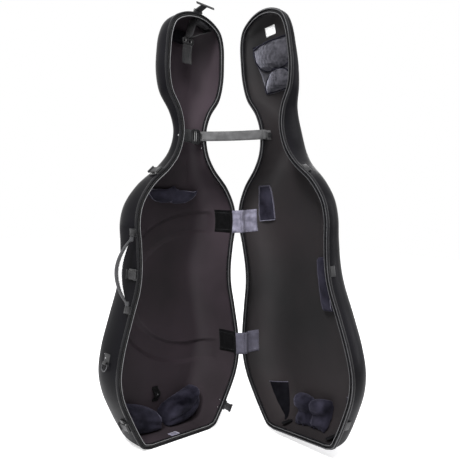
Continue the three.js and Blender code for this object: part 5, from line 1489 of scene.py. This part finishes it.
strip("scroll_strap_loop", head_loop(), WEBBING_THICK, dark_web, "base", "black_webbing", "head_strap")
tab_rows = [[(x, d, ceiling_at(x, (0.02, 0.035, 0.05)) - 0.0036) for d in np.linspace(0.018, 0.048, 5)]
            for x in np.linspace(left_x + 0.012, right_x - 0.008, 9)]
strip("scroll_strap_tab", tab_rows, 0.0018, thread_grey, "base", "grey_webbing")
tail_low, tail_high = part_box("head_strap_tail")
tail_y = (buckle_low[1] + buckle_high[1]) / 2
tail_rows = []
for t in np.linspace(0, 1, 14):
    y, z = tail_y + 0.003 * math.sin(math.pi * t), tail_high[2] + (tail_low[2] - tail_high[2]) * t
    tail_rows.append([(foot_x + x, y, z) for x in np.linspace(-TAIL_HALF, TAIL_HALF, 5)])
strip("scroll_strap_tail", tail_rows, WEBBING_THICK, dark_web, "base", "grey_webbing", "head_strap_tail")
print("scroll strap tail", round((tail_high[2] - tail_low[2]) * 1000), "mm")

# %% [markdown]
# A short strap at the bottom holds the endpin, and bulges where it passes over it. A
# patch of pale cloth is glued on the bottom wall. Both lie on the shell, so their points
# are found with rays.

# %% Endpin strap and grip patch
PIN_X, PIN_HALF, PIN_SHARES, PIN_BULGE = 0.010, 0.012, (0.0618, 0.0988), 0.014

pin_rows = []
for t in np.linspace(0, 1, 25):
    z = (PIN_SHARES[0] + (PIN_SHARES[1] - PIN_SHARES[0]) * t) * HEIGHT
    out = PIN_BULGE * max(0.0, math.sin(math.pi * (t * 1.5 - 0.25)))
    y = deep_at(base_wall, BASE_SIDE, PIN_X, z) - 0.0018 - out
    pin_rows.append([(PIN_X + x, y, z) for x in np.linspace(-PIN_HALF, PIN_HALF, 5)])
strip("endpin_webbing", pin_rows, WEBBING_THICK, black_web, "base", "black_webbing", "endpin_strap")

patch_low, patch_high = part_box("grip_patch")
patch_rows = []
for y in np.linspace(patch_low[1], patch_high[1], 9):
    row = []
    for x in np.linspace(patch_low[0], patch_high[0], 7):
        floor_hit = base_wall.ray_cast(Vector((x, y, 0.4)), Vector((0, 0, -1)))[0]
        row.append((x, y, floor_hit.z + 0.0011))
    patch_rows.append(row)
strip("grip_patch_cloth", patch_rows, 0.0014, pale_velvet, "base", "pale_velvet", "grip_patch")
print("grip patch", round((patch_high[0] - patch_low[0]) * 1000), "mm wide")

# %% [markdown]
# ## Stay strap
# The grey strap across the neck stops the lid from falling further. When the lid
# closes, the real strap folds up between the shells. The middle of the strip spans
# the opening, so it is a piece of its own like the hinge cloth.

# %% Stay strap
STAY_Z, STAY_WIDE, STAY_THICK, STAY_DEEP, STAY_SAG = 0.7185 * HEIGHT, 0.0295, 0.0022, 0.038, 0.0015
stay_levels = STAY_Z + STAY_WIDE * (np.linspace(0, 1, 5) - 0.5)
stay_edge = min(edge_x(z) for z in np.linspace(stay_levels[0], stay_levels[-1], 9))
stay_edge -= STAY_THICK / 2 + 0.0002


def stay_wall(deep):
    return min(side_wall(lid_wall, LID_SIDE, deep, z) for z in stay_levels) - STAY_THICK / 2 - 0.0006


on_base = [[(stay_edge, y, z) for z in stay_levels] for y in (0.009, 0.0045, 0.0006)]
lid_route = ((stay_edge, 0.0006), (stay_edge, 0.0095), (stay_wall(0.023), 0.023),
             (stay_wall(STAY_DEEP), STAY_DEEP))
on_lid = opened_grid([[(x, -y, z) for z in stay_levels] for x, y in lid_route])
start, end = np.array(on_base[-1]), on_lid[0]
sagging = [start + (end - start) * t + np.array([0, 0, -STAY_SAG * math.sin(math.pi * t)])
           for t in np.linspace(0, 1, 14)]
strip("stay_strap_base_end", dense_rows(on_base, 3), STAY_THICK, grey_web, "base", "grey_webbing")
strip("stay_strap_lid_end", dense_rows(on_lid, 4), STAY_THICK, grey_web, "lid", "grey_webbing")
span = strip("stay_strap_span", sagging, STAY_THICK, grey_web)
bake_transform(span)
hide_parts("stay_strap")
print("stay strap spans", round(float(np.linalg.norm(end.mean(axis=0) - start.mean(axis=0))) * 1000), "mm")

# %% [markdown]
# ## Latches, hinges, brackets and ring
# These are small castings and pressings. Their CAD shapes are right, so each is taken
# over and given what the eye looks for in a real one: a rounded edge that catches the
# light. Dissolving the flat triangles first lets the Bevel modifier find the true edges.

# %% Castings
for word in ("top", "shoulder", "middle", "flank", "lower"):
    finer(f"latch_base_{word}", f"latch_plate_{word}", "base", "hardware", latch_black)
    finer(f"latch_arm_{word}", f"latch_lever_{word}", f"latch_{word}", "hardware", latch_black, 0.0008, 3)
    finer(f"latch_catch_{word}", f"latch_keeper_{word}", "lid", "hardware", latch_black)
for word in ("upper", "lower"):
    finer(f"hinge_half_base_{word}", f"hinge_leaf_base_{word}", "base", "hardware", latch_black)
    finer(f"hinge_half_lid_{word}", f"hinge_leaf_lid_{word}", "lid", "hardware", latch_black)
    finer(f"handle_mount_{word}", f"handle_bracket_{word}", "base", "hardware", latch_black, 0.0009, 3)
for word in ("left", "right"):
    finer(f"bottom_stud_{word}", f"bottom_fixing_{word}", "lid", "trim", rim_black, 0.0012, 3)
ring_mount = finer("ring_mount", "strap_ring_plate", "base", "hardware", latch_black)
finer("stay_rivet_base", "stay_anchor_base", "base", "hardware", latch_black)
finer("stay_rivet_lid", "stay_anchor_lid", "lid", "hardware", latch_black)
print("ring plate", len(ring_mount.data.polygons), "faces")

# %% [markdown]
# The ring is bent wire and the grip is moulded rubber, so both are round all over. A
# bevel would leave their facets, so their triangles are joined to quads and subdivided.

# %% Ring and handle
ROUND_LEVELS = 2


def subdivided(name, node, body, slot, material):
    piece = turned_outwards(copied(name, node), 1e-5)
    work = bmesh.new()
    work.from_mesh(piece.data)
    bmesh.ops.join_triangles(work, faces=work.faces, angle_face_threshold=0.9, angle_shape_threshold=1.2)
    work.to_mesh(piece.data)
    work.free()
    return settle(coated(smoothed(piece, ROUND_LEVELS), material), body, slot, node)


ring_wire = subdivided("strap_ring_wire", "strap_ring", "ring", "steel", dark_steel)
grip = subdivided("handle_rubber_grip", "handle_grip", "handle", "grip", grip_rubber)
print("ring and grip", len(ring_wire.data.polygons), len(grip.data.polygons), "faces")

# %% [markdown]
# Inside the bow of the handle lies a guessed bright strip, a crescent that fades out towards
# the two ends; its pale colour is a painted highlight along the grip. It follows the same bow
# as the grip, a little nearer to the pins, so its rings are worked out from the pins' line and the lean of
# the handle.

# %% Handle core
GRIP_REACH, GRIP_THICK, GRIP_LEAN = 0.037, 0.011, math.radians(45)
GRIP_FROM, GRIP_LONG = 0.0162, 0.182
CORE_FROM, CORE_TO, CORE_WIDE, CORE_THICK, CORE_THIN = 0.1, 0.9, 0.0105, 0.004, 0.0004
CORE_STEPS, CORE_SIDES = 36, 12


def joint_of(name):
    return next(joint for joint in frame["joints"] if joint["name"] == name)


grip_joint = joint_of("handle_pivot")
pin_line = Vector(grip_joint["axis"]).normalized()
flat_out = Vector((-pin_line.z, 0, pin_line.x))
lean_out = flat_out * math.cos(GRIP_LEAN) + Vector((0, 1, 0)) * math.sin(GRIP_LEAN)
lean_side = pin_line.cross(lean_out)


def core_rings():
    """Oval rings along the bow, widest in the middle."""
    rings = []
    for t in np.linspace(CORE_FROM, CORE_TO, CORE_STEPS + 1):
        bow, swell = math.sin(math.pi * t), math.sin(math.pi * (t - CORE_FROM) / (CORE_TO - CORE_FROM))
        wide = CORE_WIDE * max(0.0, swell) ** 0.7 + CORE_THIN
        near = GRIP_REACH * bow ** 0.8 - GRIP_THICK / 2 - wide / 2 + 0.0004
        middle = Vector(grip_joint["pos_m"]) + pin_line * (GRIP_FROM + GRIP_LONG * t) + lean_out * near
        across, up = lean_out * (wide / 2), lean_side * (CORE_THICK / 2)
        rings.append([middle + across * math.cos(a) + up * math.sin(a)
                      for a in np.linspace(0, 2 * math.pi, CORE_SIDES, endpoint=False)])
    return rings


rings = core_rings()
faces = []
for r in range(CORE_STEPS):
    for k in range(CORE_SIDES):
        a, b = r * CORE_SIDES + k, r * CORE_SIDES + (k + 1) % CORE_SIDES
        faces.append((a, b, b + CORE_SIDES, a + CORE_SIDES))
faces += [tuple(range(CORE_SIDES)), tuple(range(CORE_STEPS * CORE_SIDES, (CORE_STEPS + 1) * CORE_SIDES))]
core_points = [point for ring in rings for point in ring]
core = make_piece("handle_polished_core", core_points, faces, polished_core, sharp=40)
settle(turned_outwards(core), "handle", "steel")
print("handle core", len(core.data.polygons), "faces")

# %% [markdown]
# ## Rivets and screws
# The same small domed head is used many times, so it is made once by a tree that sets
# a flattened ball on every point of a cloud and turns it to face along the point's own
# direction, which is kept in an attribute.

# %% Rivet tree
def rivet_tree():
    tree = bpy.data.node_groups.new("rivets", "GeometryNodeTree")
    ids = {"spots": add_socket(tree, "Spots", "NodeSocketGeometry"),
           "radius": add_socket(tree, "Head radius", "NodeSocketFloat", 0.0025),
           "height": add_socket(tree, "Head height", "NodeSocketFloat", 0.0012),
           "finish": add_socket(tree, "Finish", "NodeSocketMaterial")}
    add_socket(tree, "Rivets", "NodeSocketGeometry", way="OUTPUT")
    n, link = tree.nodes, tree.links.new
    start, end = n.new("NodeGroupInput"), n.new("NodeGroupOutput")
    ball, squash = n.new("GeometryNodeMeshUVSphere"), n.new("ShaderNodeCombineXYZ")
    ball.inputs["Segments"].default_value, ball.inputs["Rings"].default_value = 14, 8
    ball.inputs["Radius"].default_value = 1.0
    way, face = n.new("GeometryNodeInputNamedAttribute"), n.new("FunctionNodeAlignRotationToVector")
    way.data_type, face.axis = "FLOAT_VECTOR", "Z"
    way.inputs["Name"].default_value = "facing"
    put, real = n.new("GeometryNodeInstanceOnPoints"), n.new("GeometryNodeRealizeInstances")
    coat = n.new("GeometryNodeSetMaterial")
    link(start.outputs["Head radius"], squash.inputs["X"])
    link(start.outputs["Head radius"], squash.inputs["Y"])
    link(start.outputs["Head height"], squash.inputs["Z"])
    link(start.outputs["Spots"], put.inputs["Points"])
    link(ball.outputs["Mesh"], put.inputs["Instance"])
    link(way.outputs["Attribute"], face.inputs["Vector"])
    link(face.outputs["Rotation"], put.inputs["Rotation"])
    link(squash.outputs["Vector"], put.inputs["Scale"])
    link(put.outputs["Instances"], real.inputs[0])
    link(real.outputs[0], coat.inputs["Geometry"])
    link(start.outputs["Finish"], coat.inputs["Material"])
    link(coat.outputs[0], end.inputs[0])
    return tree, ids


rivets, rivet_ids = rivet_tree()
print("rivet inputs", sorted(rivet_ids))

# %% [markdown]
# All heads sit on the base. They are given as pairs of a point and a direction, and one
# piece holds all the heads of a kind.

# %% Setting rivets
def riveted(name, spots, radius, height, material):
    """Domed heads on the base, from a list of (point, direction)."""
    piece = bare(name, [point for point, _ in spots])
    facing = piece.data.attributes.new("facing", "FLOAT_VECTOR", "POINT")
    facing.data.foreach_set("vector", np.array([way for _, way in spots], np.float32).ravel())
    grown(piece, rivets, {rivet_ids["radius"]: radius, rivet_ids["height"]: height,
                          rivet_ids["finish"]: material})
    settle(turned_outwards(piece), "base", "steel")


print("trees so far", [tree.name for tree in bpy.data.node_groups])

# %% [markdown]
# Each latch plate is held by two screws, and the ends of its pin show on both sides.
# Their places are given in the latch's own directions: along the pin, into the depth of
# the case and out of it. The latches all share those numbers, as their castings do.

# %% Latch screws and pins
PIN_DEEP, PIN_OUT, PIN_HALF_LONG = 0.006, 0.0066, 0.0149
SCREW_HALF, SCREW_DEEP, SCREW_OUT = 0.009, 0.031, 0.0012


def latch_frame(word):
    """Foot of a latch and its directions: along its pin, deep, and out of the case."""
    joint = joint_of(f"latch_{word}_lever")
    along, deep = Vector(joint["axis"]).normalized(), Vector((0, 1, 0))
    out = along.cross(deep)
    return Vector(joint["pos_m"]) - deep * PIN_DEEP - out * PIN_OUT, along, deep, out


screws, pins = [], []
for word in ("top", "shoulder", "middle", "flank", "lower"):
    origin, along, deep, out = latch_frame(word)
    for hand in (-1, 1):
        screws.append((origin + along * hand * SCREW_HALF + deep * SCREW_DEEP + out * SCREW_OUT, out))
        pins.append((origin + along * hand * PIN_HALF_LONG + deep * PIN_DEEP + out * PIN_OUT, along * hand))
riveted("latch_screws", screws, 0.0026, 0.0011, bright_steel)
riveted("latch_pin_heads", pins, 0.0019, 0.0008, bright_steel)
print("latch screws", len(screws), "pin ends", len(pins))

# %% [markdown]
# Other heads sit on a wall or on a finished piece. Each is given roughly, and the
# nearest place on the surface and the direction out of it are looked up, so no head
# floats or sinks.

# %% Bolts and rivets on surfaces
def on_wall(wall, point, side_out):
    """Nearest place on a wall, and the direction out of it."""
    near, normal, _, _ = wall.find_nearest(Vector(point))
    return near, normal if normal.dot(Vector(side_out)) > 0 else -normal


def on_face(piece, point, side_out):
    """Nearest place on a finished piece, and the direction out of it."""
    return on_wall(face_tree(mesh_points(piece), piece), point, side_out)


inner_spots = [on_wall(base_wall, (0.187, 0.026, 0.080), (-1, 0, 0.3)),
               on_wall(base_wall, (0.174, 0.022, 0.059), (-1, 0, 0.3)),
               on_wall(base_wall, (0.027, 0.020, 0.890), (-1, 0, 0))]
ring_screws = [on_face(ring_mount, (-0.244, 0.076, 0.287), (-1, 0, 0)),
               on_face(ring_mount, (-0.246, 0.068, 0.276), (-1, 0, 0))]
neck_rivet = on_face(base_piece, (-0.056, 0.012, 0.925), (-1, 0, 0))
snap = np.array(pin_rows)[13, 2] - [0, 0.0012, 0]
riveted("base_wall_bolts", inner_spots, 0.003, 0.0014, bright_steel)
riveted("ring_plate_screws", ring_screws, 0.0022, 0.001, bright_steel)
riveted("neck_strap_rivet", [neck_rivet], 0.0028, 0.0012, bright_steel)
riveted("endpin_snap", [(snap, (0.2, -1, 0.1))], 0.004, 0.0016, dark_steel)
print("bolts and rivets", len(inner_spots) + len(ring_screws) + 2)

# %% [markdown]
# ## Stitches
# Webbing is sewn down with short even stitches. A stitch is a tiny flattened thread
# loop set along a line at a fixed pitch, turned along the line; the tree resamples the
# line by length and sets one on each point.

# %% Stitch tree
def stitch_tree():
    tree = bpy.data.node_groups.new("stitches", "GeometryNodeTree")
    ids = {"line": add_socket(tree, "Seam line", "NodeSocketGeometry"),
           "pitch": add_socket(tree, "Pitch", "NodeSocketFloat", 0.004),
           "length": add_socket(tree, "Stitch length", "NodeSocketFloat", 0.0028),
           "thread": add_socket(tree, "Thread radius", "NodeSocketFloat", 0.0005),
           "finish": add_socket(tree, "Finish", "NodeSocketMaterial")}
    add_socket(tree, "Stitches", "NodeSocketGeometry", way="OUTPUT")
    n, link = tree.nodes, tree.links.new
    start, end = n.new("NodeGroupInput"), n.new("NodeGroupOutput")
    curve, even = n.new("GeometryNodeMeshToCurve"), n.new("GeometryNodeResampleCurve")
    even.mode = "LENGTH"
    ball, size = n.new("GeometryNodeMeshUVSphere"), n.new("ShaderNodeCombineXYZ")
    ball.inputs["Segments"].default_value, ball.inputs["Rings"].default_value = 6, 4
    ball.inputs["Radius"].default_value = 1.0
    half = n.new("ShaderNodeMath")
    half.operation = "MULTIPLY"
    half.inputs[1].default_value = 0.5
    tangent, face = n.new("GeometryNodeInputTangent"), n.new("FunctionNodeAlignRotationToVector")
    face.axis = "X"
    put, real = n.new("GeometryNodeInstanceOnPoints"), n.new("GeometryNodeRealizeInstances")
    coat = n.new("GeometryNodeSetMaterial")
    link(start.outputs["Seam line"], curve.inputs[0])
    link(curve.outputs[0], even.inputs["Curve"])
    link(start.outputs["Pitch"], even.inputs["Length"])
    link(start.outputs["Stitch length"], half.inputs[0])
    link(half.outputs[0], size.inputs["X"])
    link(start.outputs["Thread radius"], size.inputs["Y"])
    link(start.outputs["Thread radius"], size.inputs["Z"])
    link(even.outputs[0], put.inputs["Points"])
    link(ball.outputs["Mesh"], put.inputs["Instance"])
    link(tangent.outputs[0], face.inputs["Vector"])
    link(face.outputs["Rotation"], put.inputs["Rotation"])
    link(size.outputs["Vector"], put.inputs["Scale"])
    link(put.outputs["Instances"], real.inputs[0])
    link(real.outputs[0], coat.inputs["Geometry"])
    link(start.outputs["Finish"], coat.inputs["Material"])
    link(coat.outputs[0], end.inputs[0])
    return tree, ids


stitches, stitch_ids = stitch_tree()
print("stitch inputs", sorted(stitch_ids))

# %% [markdown]
# A seam may have several lines, such as the three sides of a band. They are grown one
# by one and joined, so that a seam is one piece.

# %% Rows of stitches
STITCH_PITCH, STITCH_SHARE, THREAD_RADIUS = 0.004, 0.7, 0.00045


def stitched(name, lines, material, body):
    """One piece with a row of stitches along each line."""
    points, faces = [], []
    for i, line in enumerate(lines):
        piece = wire(f"{name}_{i}", line)
        grown(piece, stitches, {stitch_ids["pitch"]: STITCH_PITCH,
                                stitch_ids["length"]: STITCH_PITCH * STITCH_SHARE,
                                stitch_ids["thread"]: THREAD_RADIUS, stitch_ids["finish"]: material})
        shift = len(points)
        points += [tuple(v.co) for v in piece.data.vertices]
        faces += [tuple(v + shift for v in p.vertices) for p in piece.data.polygons]
        bpy.data.objects.remove(piece)
    settle(make_piece(name, points, faces, material), body, "grey_webbing")


print("stitches every", STITCH_PITCH, "m")

# %% [markdown]
# The bands are sewn along their deep end and both sides, the neck strap across its
# ends and the tail where it leaves the buckle and down one side. The lines are taken
# from the strips' own rows, lifted to just above their faces.

# %% Sewing
BAND_RAISED, NECK_RAISED, TAIL_RAISED = [-0.0009, 0, 0], [0, -0.0013, 0], [0, -0.0012, 0]

band_lines, lid_lines = [], []
for share in BAND_SHARES.values():
    for lines, wall, side, place in ((band_lines, base_wall, BASE_SIDE, as_is),
                                     (lid_lines, lid_wall, LID_SIDE, opened)):
        rows = np.array(band_rows(wall, side, share))[:BAND_ROWS]
        lines += [place(line + BAND_RAISED) for line in (rows[0, 1:-1], rows[:, 1], rows[:, -2])]
tail_grid = np.array(tail_rows)
neck_lines = [neck_grid[row] + NECK_RAISED for row in (11, 13, len(neck_grid) - 14, len(neck_grid) - 12)]
tail_lines = [line + TAIL_RAISED for line in (tail_grid[3], tail_grid[5], tail_grid[5:, 1])]
stitched("band_stitches_base", band_lines, thread_grey, "base")
stitched("band_stitches_lid", lid_lines, light_piping, "lid")
stitched("neck_strap_stitches", neck_lines, thread_grey, "base")
stitched("scroll_tail_stitches", tail_lines, thread_grey, "base")
print("stitched lines", len(band_lines) + len(lid_lines) + len(neck_lines) + len(tail_lines))

# %% [markdown]
# ## The label
# A small white patch is glued in the head of the lid. It is a thin strip of paper laid
# on the wall, made like the cloth, and stays plain.

# %% Label patch
LABEL_SPAN, LABEL_LEVELS, LABEL_THICK = (-0.012, 0.033), (1.2265, 1.2545), 0.0006

label_rows = [[(x, 0.0009 - deep_at(lid_wall, LID_SIDE, x, level), level)
               for x in np.linspace(*LABEL_SPAN, 7)] for level in np.linspace(*LABEL_LEVELS, 6)]
# The paper's faint glow is painted light.
strip("bare_label_patch", opened_grid(label_rows), LABEL_THICK, label_paper_painted_glow, "lid", "pale_velvet")
print("label", round((LABEL_SPAN[1] - LABEL_SPAN[0]) * 1000), "mm wide")
